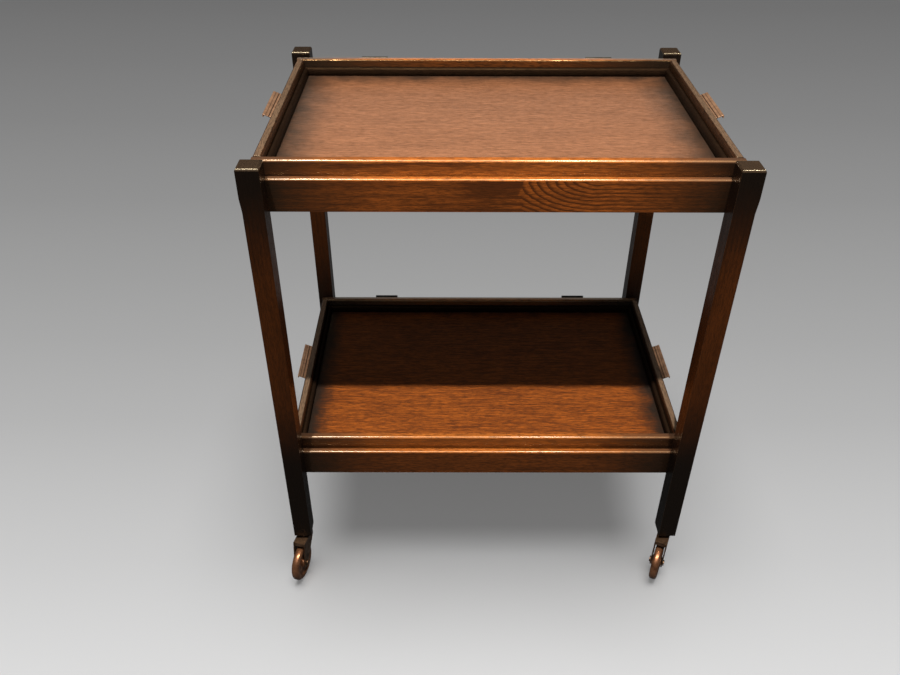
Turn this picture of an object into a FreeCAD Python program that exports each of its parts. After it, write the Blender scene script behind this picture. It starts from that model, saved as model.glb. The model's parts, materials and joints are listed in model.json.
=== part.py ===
"""Folding two-tier tea trolley in dark oak, in millimetres.

X runs along the trays, Y from the front to the back, Z up from the floor. The origin lies on
the floor under the middle of the trolley. A front frame and a back frame (two legs and two long
rails each) are held apart by jack-knife stays at both ends of both tiers. The trays are hinged
to the back rails and swing up while the frames close.
"""
import FreeCAD, Part
import Sketcher
import math
import os
import re

doc = FreeCAD.newDocument("FoldingTrolley")

# Driving sizes: one row each, in millimetres or degrees.
SIZES = [
    # whole trolley
    ("overall_width", 642, "over the leg shafts, along X"),
    ("overall_depth", 484, "over the leg shafts, along Y"),
    ("lower_tier_height", 189, "foot of a leg to the top of the lower rim"),
    # legs
    ("leg_width", 28, "along X"),
    ("leg_depth", 30, "along Y"),
    ("leg_length", 667, "foot to flat top"),
    ("head_flare", 1.8, "how far the head stands out at the end of the trolley"),
    ("head_height", 40, "straight part of the head"),
    ("flare_height", 20, "slope from the shaft to the head"),
    ("leg_round", 4, "rounded top edges"),
    # long rails
    ("rail_height", 46, ""),
    ("rail_thickness", 10, ""),
    ("rail_round", 3, "rounded upper edges"),
    ("rail_end_inset", 9, "rail end short of the outside of the leg"),
    ("housing_depth", 3, "how far a rail is let into the legs"),
    ("joint_screw_diameter", 4, ""),
    ("joint_screw_head", 8, "countersunk head diameter"),
    ("joint_screw_length", 26, ""),
    ("screw_clearance", 0.05, "hole over screw, radial"),
    # trays
    ("tray_end_inset", 9.5, "tray short of the outside of the legs"),
    ("tray_front_gap", 2.4, "rim to front rail"),
    ("tray_back_gap", 2, "rim to back rail"),
    ("rim_drop", 6, "upper rim below the leg tops"),
    ("rim_above_rail", 20, ""),
    ("rim_height", 36, ""),
    ("rim_thickness", 12, ""),
    ("rim_round", 3.5, "rounded upper edges"),
    ("tray_inside_depth", 25, "rim top to tray floor"),
    ("base_thickness", 6, ""),
    ("groove_depth", 5, "how far the floor runs into the rims"),
    ("rebate_depth", 2, "edge of the floor, under the strips and in the rims, below its face"),
    ("bead_width", 6, "strip round the floor"),
    ("bead_height", 13, "above the floor"),
    ("bead_round", 4, ""),
    ("ledge_width", 10, "strip that the tray front rests on"),
    ("ledge_height", 9, ""),
    ("ledge_end_gap", 28, "ledge short of the stay pins"),
    ("rest_clearance", 0.3, "between pieces that part when the trolley folds"),
    # tray handles
    ("handle_length", 92, "along Y"),
    ("handle_plate", 1.6, "sheet thickness"),
    ("handle_drop", 24, "back plate below the rim top"),
    ("handle_neck_drop", 6, "where the lip leaves the back plate"),
    ("handle_reach", 13.5, "lip out from the rim"),
    ("handle_rise", 5, "rise of the lip"),
    ("handle_curl", 4.5, "turned-down edge"),
    # tray hinges
    ("hinge_offset", 4.8, "axis behind the back rim"),
    ("hinge_drop", 3, "axis below the rim top"),
    ("hinge_barrel", 5, "knuckle diameter"),
    ("hinge_pin", 2.4, "pin diameter"),
    ("hinge_leaf", 1.5, "leaf thickness"),
    ("hinge_leaf_height", 14, ""),
    ("hinge_knuckle", 14, "length of each knuckle"),
    ("hinge_side_gap", 0.3, "between knuckles"),
    ("hinge_place", 185, "middle of each hinge from the middle of the tray"),
    # jack-knife stays
    ("stay_width", 24, ""),
    ("stay_thickness", 10, ""),
    ("stay_lift", 3, "lower stay above the bottom of the rail"),
    ("stay_inset", 24, "pins in from the rail ends"),
    ("pin_setback", 16, "pins in from the rail faces"),
    ("stay_pin", 6, "pin diameter"),
    ("stay_pin_head", 11, "rivet head diameter"),
    ("stay_pin_head_height", 2, ""),
    ("running_clearance", 0.05, "hole over pin, radial"),
    ("open_pivot_clearance", 0.3, "same, where a loop of stays is closed"),
    ("bracket_thickness", 2, "steel angle that holds a pin"),
    ("bracket_height", 12, ""),
    # casters
    ("wheel_diameter", 63, ""),
    ("wheel_width", 13, ""),
    ("tread_round", 5, ""),
    ("hub_diameter", 18, ""),
    ("hub_width", 16, ""),
    ("web_recess", 2.5, "dished ring in each side of the wheel"),
    ("web_outer", 46, "outer diameter of that ring"),
    ("axle_diameter", 6, ""),
    ("axle_head", 10, ""),
    ("axle_head_height", 2, ""),
    ("trail", 26, "axle behind the swivel"),
    ("wheel_top_gap", 7.7, "wheel to the fork above it"),
    ("fork_gap", 0.4, "hub to cheek"),
    ("cheek_thickness", 1.8, ""),
    ("cheek_end_diameter", 17, "rounded end at the axle"),
    ("crown_height", 6, ""),
    ("cheek_root", 3, "cheek below the crown at its front"),
    ("crown_reach", 10, "crown past the swivel"),
    ("collar_diameter", 20, "swivel collar and socket flange"),
    ("collar_height", 5, ""),
    ("flange_height", 3, ""),
    ("stem_diameter", 8, ""),
    ("stem_length", 34, ""),
    ("socket_wall", 2, ""),
    ("heading_one", 14, "swivel of the front left caster, degrees"),
    ("heading_two", 24, "swivel of the front right caster, degrees"),
    # for every cut
    ("overrun", 2, "cutters past the face they cut"),
]
sheet = doc.addObject("Spreadsheet::Sheet", "Sizes")
for row, (alias, value, note) in enumerate(SIZES, 1):
    sheet.set("A%d" % row, str(value))
    sheet.setAlias("A%d" % row, alias)
    sheet.set("B%d" % row, note)
doc.recompute()
ALIASES = {alias for alias, value, note in SIZES}


def cells(text):
    """Turn the plain size names in a formula into references to the sheet."""
    return re.sub(r"[a-z_]+", lambda m: "Sizes." + m[0] if m[0] in ALIASES else m[0], text)


def bind(thing, **formulas):
    """Bind properties; an underscore pair in a name stands for a dot."""
    for name, text in formulas.items():
        thing.setExpression(name.replace("__", "."), cells(text))
    return thing


def place(thing, x, y, z="0"):
    """Bind where a piece stands."""
    return bind(thing, Placement__Base__x=x, Placement__Base__y=y, Placement__Base__z=z)


def size(alias):
    """A sheet value, for the few operations that take numbers only."""
    return float(sheet.get(alias))


def sided(sign, near, far):
    """A low and a high formula for the stretch from near to far on one side of the middle."""
    if sign > 0:
        return near, far
    return f"-({far})", f"-({near})"


def at(sign, distance):
    return distance if sign > 0 else f"-({distance})"


TURNS = {
    "x": FreeCAD.Rotation(FreeCAD.Vector(0, 1, 0), 90),
    "y": FreeCAD.Rotation(FreeCAD.Vector(1, 0, 0), -90),
    "z": FreeCAD.Rotation(),
}


def block(name, x, y, z):
    """A box between low and high formulas on each axis."""
    box = doc.addObject("Part::Box", name)
    bind(box, Length=f"({x[1]}) - ({x[0]})", Width=f"({y[1]}) - ({y[0]})", Height=f"({z[1]}) - ({z[0]})")
    return place(box, x[0], y[0], z[0])


def rod(name, diameter, axis, x, y, z):
    """A cylinder along one axis: that axis takes a low and a high formula, the others a place."""
    bar = doc.addObject("Part::Cylinder", name)
    bar.Placement = FreeCAD.Placement(FreeCAD.Vector(), TURNS[axis])
    ends = {"x": x, "y": y, "z": z}[axis]
    start = {"x": x, "y": y, "z": z}
    start[axis] = ends[0]
    bind(bar, Radius=f"({diameter}) / 2", Height=f"({ends[1]}) - ({ends[0]})")
    return place(bar, start["x"], start["y"], start["z"])


def taper(name, low, high, z):
    """A four-sided frustum along Z; low and high each hold an X pair and a Y pair of formulas."""
    wedge = doc.addObject("Part::Wedge", name)
    wedge.Placement = FreeCAD.Placement(FreeCAD.Vector(), FreeCAD.Rotation(FreeCAD.Vector(1, 0, 0), 90))
    bind(wedge, Ymin="0", Ymax=f"({z[1]}) - ({z[0]})", Placement__Base__z=z[0])
    bind(wedge, Xmin=low[0][0], Xmax=low[0][1], Zmin=f"-({low[1][1]})", Zmax=f"-({low[1][0]})")
    return bind(wedge, X2min=high[0][0], X2max=high[0][1], Z2min=f"-({high[1][1]})", Z2max=f"-({high[1][0]})")


def fused(name, pieces):
    union = doc.addObject("Part::MultiFuse", name)
    union.Shapes = pieces
    union.Refine = True
    return union


def less(name, base, cutters):
    """The base with the cutters taken out."""
    cut = doc.addObject("Part::Cut", name)
    cut.Base = base
    cut.Tool = cutters[0] if len(cutters) == 1 else fused(name + "_cutters", cutters)
    cut.Refine = True
    return cut


def rounded(name, base, radius, wanted):
    """The base with the straight edges that pass the test rounded."""
    doc.recompute()
    softened = doc.addObject("Part::Fillet", name)
    softened.Base = base
    numbers = [i for i, edge in enumerate(base.Shape.Edges, 1) if wanted(edge)]
    softened.Edges = [(i, radius, radius) for i in numbers]
    return softened


def prism(name, role, points, depth, offset):
    """A padded outline: points are pairs of formulas in the plane, the pad starts at the offset."""
    body = doc.addObject("PartDesign::Body", name)
    sketch = body.newObject("Sketcher::SketchObject", name + "_outline")
    plane = next(p for p in body.Origin.OriginFeatures if p.Role == role)
    sketch.AttachmentSupport = [(plane, "")]
    sketch.MapMode = "FlatFace"
    count = len(points)
    for i in range(count):
        angles = [2 * math.pi * (i + step) / count for step in (0, 1)]
        corners = [FreeCAD.Vector(math.cos(a), math.sin(a), 0) for a in angles]
        sketch.addGeometry(Part.LineSegment(*corners), False)
    for i in range(count):
        sketch.addConstraint(Sketcher.Constraint("Coincident", i, 2, (i + 1) % count, 1))
    for i, (across, up) in enumerate(points):
        for kind, text in (("DistanceX", across), ("DistanceY", up)):
            number = sketch.addConstraint(Sketcher.Constraint(kind, -1, 1, i, 1, 1.0))
            sketch.setExpression("Constraints[%d]" % number, cells(text))
    bind(sketch, AttachmentOffset__Base__z=offset)
    pad = body.newObject("PartDesign::Pad", name + "_pad")
    pad.Profile = sketch
    bind(pad, Length=depth)
    return body


nodes = {}


def node(label, pieces):
    """Keep one object, or a group of separate solids, as a named sub-part."""
    if len(pieces) == 1:
        keep = pieces[0]
    else:
        keep = doc.addObject("Part::Compound", label + "_group")
        keep.Links = pieces
    keep.Label = label
    nodes[label] = keep
    return keep


SIDES = {"left": -1, "right": 1}
ENDS = {"front": -1, "back": 1}
TIERS = ("upper", "lower")

# Heights, from the floor up through the casters
CROWN_LOW = "(wheel_diameter + wheel_top_gap)"
CROWN_TOP = f"({CROWN_LOW} + crown_height)"
COLLAR_TOP = f"({CROWN_TOP} + collar_height)"
FLANGE_LOW = f"({COLLAR_TOP} + rest_clearance)"
FOOT = f"({FLANGE_LOW} + flange_height)"
STEM_TOP = f"({FOOT} + stem_length)"
SOCKET_TOP = f"({STEM_TOP} + socket_wall)"
LEG_TOP = f"({FOOT} + leg_length)"
RIM_TOP = {"upper": f"({LEG_TOP} - rim_drop)", "lower": f"({FOOT} + lower_tier_height)"}
RIM_LOW = {tier: f"({RIM_TOP[tier]} - rim_height)" for tier in TIERS}
RAIL_TOP = {tier: f"({RIM_TOP[tier]} - rim_above_rail)" for tier in TIERS}
RAIL_LOW = {tier: f"({RAIL_TOP[tier]} - rail_height)" for tier in TIERS}
FLOOR_TOP = {tier: f"({RIM_TOP[tier]} - tray_inside_depth)" for tier in TIERS}

# Distances from the middle
LEG_OUT = "(overall_width / 2)"
LEG_IN = f"({LEG_OUT} - leg_width)"
LEG_MIDDLE = f"({LEG_OUT} - leg_width / 2)"
LEG_FACE = "(overall_depth / 2)"
LEG_BACK = f"({LEG_FACE} - leg_depth)"
LEG_CENTRE = f"({LEG_FACE} - leg_depth / 2)"
RAIL_OUT = f"({LEG_BACK} + housing_depth)"
RAIL_IN = f"({RAIL_OUT} - rail_thickness)"
RAIL_END = f"({LEG_OUT} - rail_end_inset)"
TRAY_END = f"({LEG_OUT} - tray_end_inset)"
TRAY_EDGE = {"front": f"({RAIL_IN} - tray_front_gap)", "back": f"({RAIL_IN} - tray_back_gap)"}
SOCKET_INNER = "(stem_diameter + 2 * running_clearance)"
SOCKET_OUTER = f"({SOCKET_INNER} + 2 * socket_wall)"
PIN_X = f"({RAIL_END} - stay_inset)"
PIN_Y = f"({RAIL_IN} - pin_setback)"


# Long rails, and the screws that hold them to the legs
SCREW_HEIGHT_SHARES = (0.25, 0.75)


def rail_screws(tier, end, grow):
    """Four countersunk screws from the inside of a rail into its legs, or their holes."""
    sign = ENDS[end]
    screws = []
    for side, across in SIDES.items():
        for number, share in enumerate(SCREW_HEIGHT_SHARES):
            name = f"{end}_{tier}_{side}_screw_{number}" + ("_hole" if grow != "0" else "")
            height = f"{RAIL_LOW[tier]} + rail_height * {share}"
            x = at(across, LEG_MIDDLE)
            reach = sided(sign, RAIL_IN, f"{RAIL_IN} + joint_screw_length + {grow}")
            shank = rod(name + "_shank", f"joint_screw_diameter + 2 * {grow}", "y", x, reach, height)
            head = doc.addObject("Part::Cone", name + "_head")
            turn = TURNS["y"] if sign > 0 else FreeCAD.Rotation(FreeCAD.Vector(1, 0, 0), 90)
            head.Placement = FreeCAD.Placement(FreeCAD.Vector(), turn)
            bind(head, Radius1=f"joint_screw_head / 2 + {grow}", Radius2=f"joint_screw_diameter / 2 + {grow}")
            bind(head, Height="(joint_screw_head - joint_screw_diameter) / 2")
            place(head, x, at(sign, RAIL_IN), height)
            screws.append(fused(name, [shank, head]))
    return screws


def long_rail(tier, end):
    name = f"{end}_{tier}_rail"
    across = (f"-{RAIL_END}", RAIL_END)
    depth = sided(ENDS[end], RAIL_IN, RAIL_OUT)
    board = block(name + "_board", across, depth, (RAIL_LOW[tier], RAIL_TOP[tier]))
    drilled = less(name + "_drilled", board, rail_screws(tier, end, "screw_clearance"))
    doc.recompute()
    top = board.Shape.BoundBox.ZMax
    length = board.Shape.BoundBox.XLength

    def upper_edge(edge):
        box = edge.BoundBox
        return abs(box.ZMin - top) < Part.Precision.confusion() and box.XLength > length / 2
    return rounded(name + "_shape", drilled, size("rail_round"), upper_edge)


# Legs
def leg_screw_holes(tier, end, side):
    """The two screw holes of one rail end, in the leg behind it."""
    holes = []
    for number, share in enumerate(SCREW_HEIGHT_SHARES):
        height = f"{RAIL_LOW[tier]} + rail_height * {share}"
        reach = sided(ENDS[end], RAIL_IN, f"{RAIL_IN} + joint_screw_length + screw_clearance")
        name = f"{end}_{tier}_{side}_leg_hole_{number}"
        bore = "joint_screw_diameter + 2 * screw_clearance"
        holes.append(rod(name, bore, "y", at(SIDES[side], LEG_MIDDLE), reach, height))
    return holes


def leg(end, side):
    name = f"{end}_{side}_leg"
    across, sign = SIDES[side], ENDS[end]
    x = sided(across, LEG_IN, LEG_OUT)
    y = sided(sign, LEG_BACK, LEG_FACE)
    wide_x = sided(across, LEG_IN, f"{LEG_OUT} + head_flare")
    head = f"{LEG_TOP} - head_height"
    neck = f"{head} - flare_height"
    shaft = block(name + "_shaft", x, y, (FOOT, neck))
    flare = taper(name + "_flare", (x, y), (wide_x, y), (neck, head))
    cap = block(name + "_cap", wide_x, y, (head, LEG_TOP))
    whole = fused(name + "_whole", [shaft, flare, cap])
    doc.recompute()
    top = whole.Shape.BoundBox.ZMax
    soft = rounded(name + "_soft", whole, size("leg_round"),
                   lambda edge: abs(edge.BoundBox.ZMin - top) < Part.Precision.confusion())
    cutters = []
    for tier in TIERS:
        reach = sided(across, f"{LEG_IN} - overrun", RAIL_END)
        depth = sided(sign, f"{LEG_BACK} - overrun", RAIL_OUT)
        cutters.append(block(f"{name}_{tier}_housing", reach, depth, (RAIL_LOW[tier], RAIL_TOP[tier])))
        for screw in leg_screw_holes(tier, end, side):
            cutters.append(screw)
    bore = (f"{FOOT} - overrun", SOCKET_TOP)
    cutters.append(rod(name + "_bore", SOCKET_OUTER, "z", at(across, LEG_MIDDLE), at(sign, LEG_CENTRE), bore))
    return less(name + "_shape", soft, cutters)


# Trays
def rim_board(name, x, y, z, groove):
    """A tray rim: a board with its upper edges rounded and a groove for the tray floor."""
    board = block(name + "_board", x, y, z)
    doc.recompute()
    top = board.Shape.BoundBox.ZMax
    span = max(board.Shape.BoundBox.XLength, board.Shape.BoundBox.YLength)

    def upper_edge(edge):
        box = edge.BoundBox
        long = max(box.XLength, box.YLength) > span / 2
        return long and abs(box.ZMin - top) < Part.Precision.confusion()
    soft = rounded(name + "_soft", board, size("rim_round"), upper_edge)
    return less(name + "_shape", soft, [groove])


def tray(tier):
    low, high = RIM_LOW[tier], RIM_TOP[tier]
    front, back = f"-{TRAY_EDGE['front']}", TRAY_EDGE["back"]
    inner_x = f"({TRAY_END} - rim_thickness)"
    inner_front = f"({front} + rim_thickness)"
    inner_back = f"({back} - rim_thickness)"
    bead_front = f"({inner_front} + bead_width)"
    bead_back = f"({inner_back} - bead_width)"
    edge_top = f"({FLOOR_TOP[tier]} - rebate_depth)"
    edge_x = (f"-({inner_x} + groove_depth)", f"{inner_x} + groove_depth")
    edge_y = (f"{inner_front} - groove_depth", f"{inner_back} + groove_depth")

    def floor_edge(name):
        return block(name, edge_x, edge_y, (f"{FLOOR_TOP[tier]} - base_thickness", edge_top))
    name = f"{tier}_tray"
    field_end = f"({inner_x} - bead_width - rest_clearance)"
    field_y = (f"{bead_front} + rest_clearance", f"{bead_back} - rest_clearance")
    field = block(name + "_field", (f"-{field_end}", field_end), field_y, (edge_top, FLOOR_TOP[tier]))
    node(name + "_base", [fused(name + "_base_board", [floor_edge(name + "_base_edge"), field])])
    full = (f"-{TRAY_END}", TRAY_END)
    rims = {
        "front_rim": (full, (front, inner_front)),
        "back_rim": (full, (inner_back, back)),
        "left_rim": ((f"-{TRAY_END}", f"-{inner_x}"), (inner_front, inner_back)),
        "right_rim": ((inner_x, TRAY_END), (inner_front, inner_back)),
    }
    for rim, (x, y) in rims.items():
        groove = floor_edge(f"{name}_{rim}_groove")
        node(f"{name}_{rim}", [rim_board(f"{name}_{rim}", x, y, (low, high), groove)])
    bead_z = (edge_top, f"{FLOOR_TOP[tier]} + bead_height")
    long_x = (f"-{inner_x}", inner_x)
    short_y = (bead_front, bead_back)
    left_x = (f"-{inner_x}", f"-{inner_x} + bead_width")
    right_x = (f"{inner_x} - bead_width", inner_x)
    strips = [
        bead(f"{name}_front_bead", long_x, (inner_front, bead_front), bead_z, ("y", 1)),
        bead(f"{name}_back_bead", long_x, (bead_back, inner_back), bead_z, ("y", -1)),
        bead(f"{name}_left_bead", left_x, short_y, bead_z, ("x", 1)),
        bead(f"{name}_right_bead", right_x, short_y, bead_z, ("x", -1)),
    ]
    node(name + "_beading", strips)
    node(name + "_handles", [handle(tier, side) for side in SIDES])


def bead(name, x, y, z, inward):
    """A strip in the corner of the tray floor, with its upper inner edge rounded."""
    strip = block(name + "_board", x, y, z)
    doc.recompute()
    box = strip.Shape.BoundBox
    axis, sign = inward
    inner = {("x", 1): box.XMax, ("x", -1): box.XMin, ("y", 1): box.YMax, ("y", -1): box.YMin}[inward]

    def upper_inner_edge(edge):
        point = edge.CenterOfMass
        across = point.x if axis == "x" else point.y
        near = abs(across - inner) < Part.Precision.confusion()
        return near and abs(edge.BoundBox.ZMin - box.ZMax) < Part.Precision.confusion()
    return rounded(name, strip, size("bead_round"), upper_inner_edge)


def handle(tier, side):
    """A bent lip plate: back plate on the end rim, flared lip, edge turned down."""
    sign = SIDES[side]
    top = RIM_TOP[tier]
    neck = f"({top} - handle_neck_drop)"
    face = TRAY_END
    tip = f"({face} + handle_reach)"
    crest = f"({neck} + handle_rise)"
    points = [
        (face, f"{top} - handle_drop"),
        (f"{face} + handle_plate", f"{top} - handle_drop"),
        (f"{face} + handle_plate", f"{neck} - handle_plate"),
        (f"{tip} - handle_plate", f"{crest} - handle_plate"),
        (f"{tip} - handle_plate", f"{crest} - handle_curl"),
        (tip, f"{crest} - handle_curl"),
        (tip, f"{crest} - handle_plate / 2"),
        (f"{tip} - handle_plate / 2", crest),
        (face, neck),
    ]
    if sign < 0:
        points = [(f"-({across})", up) for across, up in points]
    return prism(f"{tier}_{side}_handle", "XZ_Plane", points, "handle_length", "-handle_length / 2")


# Tray hinges
HINGE_Y = f"({TRAY_EDGE['back']} + hinge_offset)"
HINGE_Z = {tier: f"({RIM_TOP[tier]} - hinge_drop)" for tier in TIERS}


def hinge_span(side, number):
    """X range of one of three knuckles; the middle one belongs to the tray."""
    middle = at(SIDES[side], "hinge_place")
    low = f"{middle} + (hinge_knuckle + hinge_side_gap) * ({number}) - hinge_knuckle / 2"
    return low, f"{low} + hinge_knuckle"


def hinge_hole(name, tier, side, clearance):
    ends = (f"{hinge_span(side, -1)[0]} - overrun", f"{hinge_span(side, 1)[1]} + overrun")
    return rod(name, f"hinge_pin + 2 * {clearance}", "x", ends, HINGE_Y, HINGE_Z[tier])


def hinge_foot(tier, side):
    """The fixed half: a foot on the rail, two upright straps and their knuckles."""
    name = f"{tier}_{side}_hinge_foot"
    outer = (hinge_span(side, -1)[0], hinge_span(side, 1)[1])
    sole_z = (RAIL_TOP[tier], f"{RAIL_TOP[tier]} + hinge_leaf")
    sole_y = (f"{RAIL_IN} + rail_round", f"{RAIL_OUT} - rail_round")
    pieces = [block(name + "_sole", outer, sole_y, sole_z)]
    for number in (-1, 1):
        x = hinge_span(side, number)
        strap_y = (f"{HINGE_Y} - hinge_leaf / 2", f"{RAIL_IN} + rail_round + hinge_leaf")
        pieces.append(block(f"{name}_strap_{number + 1}", x, strap_y, (RAIL_TOP[tier], HINGE_Z[tier])))
        pieces.append(rod(f"{name}_knuckle_{number + 1}", "hinge_barrel", "x", x, HINGE_Y, HINGE_Z[tier]))
    hole = hinge_hole(name + "_hole", tier, side, "running_clearance")
    return less(name + "_shape", fused(name + "_whole", pieces), [hole])


def hinge_leaf(tier, side):
    """The moving half: a leaf on the back rim with the middle knuckle."""
    name = f"{tier}_{side}_hinge_leaf"
    back = TRAY_EDGE["back"]
    outer = (hinge_span(side, -1)[0], hinge_span(side, 1)[1])
    middle = hinge_span(side, 0)
    leaf_z = (f"{HINGE_Z[tier]} - hinge_leaf_height", f"{HINGE_Z[tier]} + hinge_leaf / 2")
    plate = block(name + "_plate", outer, (back, f"{back} + hinge_leaf"), leaf_z)
    web_z = (f"{HINGE_Z[tier]} - hinge_leaf / 2", f"{HINGE_Z[tier]} + hinge_leaf / 2")
    web = block(name + "_web", middle, (back, HINGE_Y), web_z)
    barrel = rod(name + "_knuckle", "hinge_barrel", "x", middle, HINGE_Y, HINGE_Z[tier])
    hole = hinge_hole(name + "_hole", tier, side, "running_clearance")
    return less(name + "_shape", fused(name + "_whole", [plate, web, barrel]), [hole])


def hinge_pin(tier, side):
    ends = (hinge_span(side, -1)[0], hinge_span(side, 1)[1])
    return rod(f"{tier}_{side}_hinge_pin", "hinge_pin", "x", ends, HINGE_Y, HINGE_Z[tier])


# Jack-knife stays: the front half lies below the back half
def layer(low, thickness):
    return {tier: (low[tier], f"{low[tier]} + {thickness}") for tier in TIERS}


LOWER_STAY = layer({tier: f"{RAIL_LOW[tier]} + stay_lift" for tier in TIERS}, "stay_thickness")
TONGUE = layer({tier: f"{LOWER_STAY[tier][1]} + rest_clearance" for tier in TIERS}, "bracket_thickness")
UPPER_STAY = layer({tier: f"{TONGUE[tier][1]} + rest_clearance" for tier in TIERS}, "stay_thickness")


def stay(tier, side, end):
    """A flat bar with round ends, pinned to its frame and to the other half."""
    name = f"{tier}_{side}_{end}_stay"
    x = at(SIDES[side], PIN_X)
    z = UPPER_STAY[tier] if end == "back" else LOWER_STAY[tier]
    half = "stay_width / 2"
    y = sided(ENDS[end], "0", PIN_Y)
    bar = block(name + "_bar", (f"{x} - {half}", f"{x} + {half}"), y, z)
    pivots = ("0", at(ENDS[end], PIN_Y))
    ends = [rod(f"{name}_end_{i}", "stay_width", "z", x, pivot, z) for i, pivot in enumerate(pivots)]
    open_pivot = end == "front" and (tier, side) != ("upper", "left")
    clearances = ("running_clearance", "open_pivot_clearance" if open_pivot else "running_clearance")
    through = (f"{z[0]} - overrun", f"{z[1]} + overrun")
    holes = [rod(f"{name}_hole_{i}", f"stay_pin + 2 * {room}", "z", x, pivot, through)
             for i, (pivot, room) in enumerate(zip(pivots, clearances))]
    return less(name + "_shape", fused(name + "_whole", [bar] + ends), holes)


def rivet(name, x, y, low, high, collar=None):
    """A pin with a head at each end, clear of what it holds, and a collar where two stays meet."""
    foot = f"({low} - rest_clearance)"
    crown = f"({high} + rest_clearance)"
    wide = {
        "foot": (f"{foot} - stay_pin_head_height", foot),
        "crown": (crown, f"{crown} + stay_pin_head_height"),
    }
    if collar:
        wide["collar"] = collar
    pieces = [rod(f"{name}_{word}", "stay_pin_head", "z", x, y, z) for word, z in wide.items()]
    return fused(name, pieces + [rod(name + "_shank", "stay_pin", "z", x, y, (foot, crown))])


def stay_bracket(tier, side, end):
    """A steel angle on the inside of a rail, with a tongue that carries the pin."""
    name = f"{tier}_{side}_{end}_bracket"
    x = at(SIDES[side], PIN_X)
    half = "stay_width / 2"
    across = (f"{x} - {half}", f"{x} + {half}")
    plate_y = sided(ENDS[end], f"{RAIL_IN} - bracket_thickness", RAIL_IN)
    tongue_y = sided(ENDS[end], PIN_Y, RAIL_IN)
    tongue = TONGUE[tier]
    down = (f"{tongue[1]} - bracket_height", tongue[1])
    up = (tongue[0], f"{tongue[0]} + bracket_height")
    plate = block(name + "_plate", across, plate_y, up if end == "back" else down)
    arm = block(name + "_arm", across, tongue_y, tongue)
    nose = rod(name + "_nose", "stay_width", "z", x, at(ENDS[end], PIN_Y), tongue)
    through = (f"{tongue[0]} - overrun", f"{tongue[1]} + overrun")
    hole = rod(name + "_hole", "stay_pin + 2 * running_clearance", "z", x, at(ENDS[end], PIN_Y), through)
    return less(name + "_shape", fused(name + "_whole", [plate, arm, nose]), [hole])


def frame_pin(tier, side, end):
    x, y = at(SIDES[side], PIN_X), at(ENDS[end], PIN_Y)
    low = LOWER_STAY[tier][0] if end == "front" else TONGUE[tier][0]
    high = TONGUE[tier][1] if end == "front" else UPPER_STAY[tier][1]
    return rivet(f"{tier}_{side}_{end}_pin", x, y, low, high)


def ledge(tier):
    """The strip on the front rail that the front of the tray comes down on."""
    high = f"{RIM_LOW[tier]} - rest_clearance"
    reach = f"({PIN_X} - ledge_end_gap)"
    y = (f"-{RAIL_IN}", f"-{RAIL_IN} + ledge_width")
    return block(f"{tier}_ledge", (f"-{reach}", reach), y, (f"{high} - ledge_height", high))


# Casters, made about their swivel axis and then turned and set under a leg
HEADINGS = {
    ("front", "left"): "-heading_one",
    ("front", "right"): "-heading_two",
    ("back", "right"): "180 - heading_one",
    ("back", "left"): "180 - heading_two",
}
AXLE_Z = "(wheel_diameter / 2)"
CHEEK_IN = "(hub_width / 2 + fork_gap)"
CHEEK_OUT = f"({CHEEK_IN} + cheek_thickness)"


def under_leg(thing, end, side):
    """Turn a caster piece to its heading and move it under its leg."""
    thing.Placement = FreeCAD.Placement(FreeCAD.Vector(), FreeCAD.Rotation(FreeCAD.Vector(0, 0, 1), 1))
    bind(thing, Placement__Rotation__Angle=HEADINGS[end, side])
    return place(thing, at(SIDES[side], LEG_MIDDLE), at(ENDS[end], LEG_CENTRE))


def fork(end, side):
    """A pressed fork: a padded outline with a slot for the wheel, a collar and a stem."""
    name = f"{end}_{side}_caster_fork"
    half_end = "cheek_end_diameter / 2"
    outline = [
        ("crown_reach", CROWN_TOP),
        ("-trail", CROWN_TOP),
        (f"-trail - {half_end}", AXLE_Z),
        (f"-trail + {half_end}", AXLE_Z),
        ("crown_reach", f"{CROWN_LOW} - cheek_root"),
    ]
    wide = (f"-{CHEEK_OUT}", CHEEK_OUT)
    blank = prism(name + "_blank", "YZ_Plane", outline, f"2 * {CHEEK_OUT}", f"-{CHEEK_OUT}")
    tips = rod(name + "_tips", "cheek_end_diameter", "x", wide, "-trail", AXLE_Z)
    slot_y = (f"-trail - {half_end} - overrun", "crown_reach + overrun")
    slot_z = (f"{AXLE_Z} - {half_end} - overrun", CROWN_LOW)
    slot = block(name + "_slot", (f"-{CHEEK_IN}", CHEEK_IN), slot_y, slot_z)
    through = (f"-{CHEEK_OUT} - overrun", f"{CHEEK_OUT} + overrun")
    hole = rod(name + "_hole", "axle_diameter + 2 * running_clearance", "x", through, "-trail", AXLE_Z)
    cheeks = less(name + "_cheeks", fused(name + "_solid", [blank, tips]), [slot, hole])
    collar = rod(name + "_collar", "collar_diameter", "z", "0", "0", (CROWN_TOP, COLLAR_TOP))
    stem = rod(name + "_stem", "stem_diameter", "z", "0", "0", (COLLAR_TOP, STEM_TOP))
    return under_leg(fused(name + "_shape", [cheeks, collar, stem]), end, side)


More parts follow.
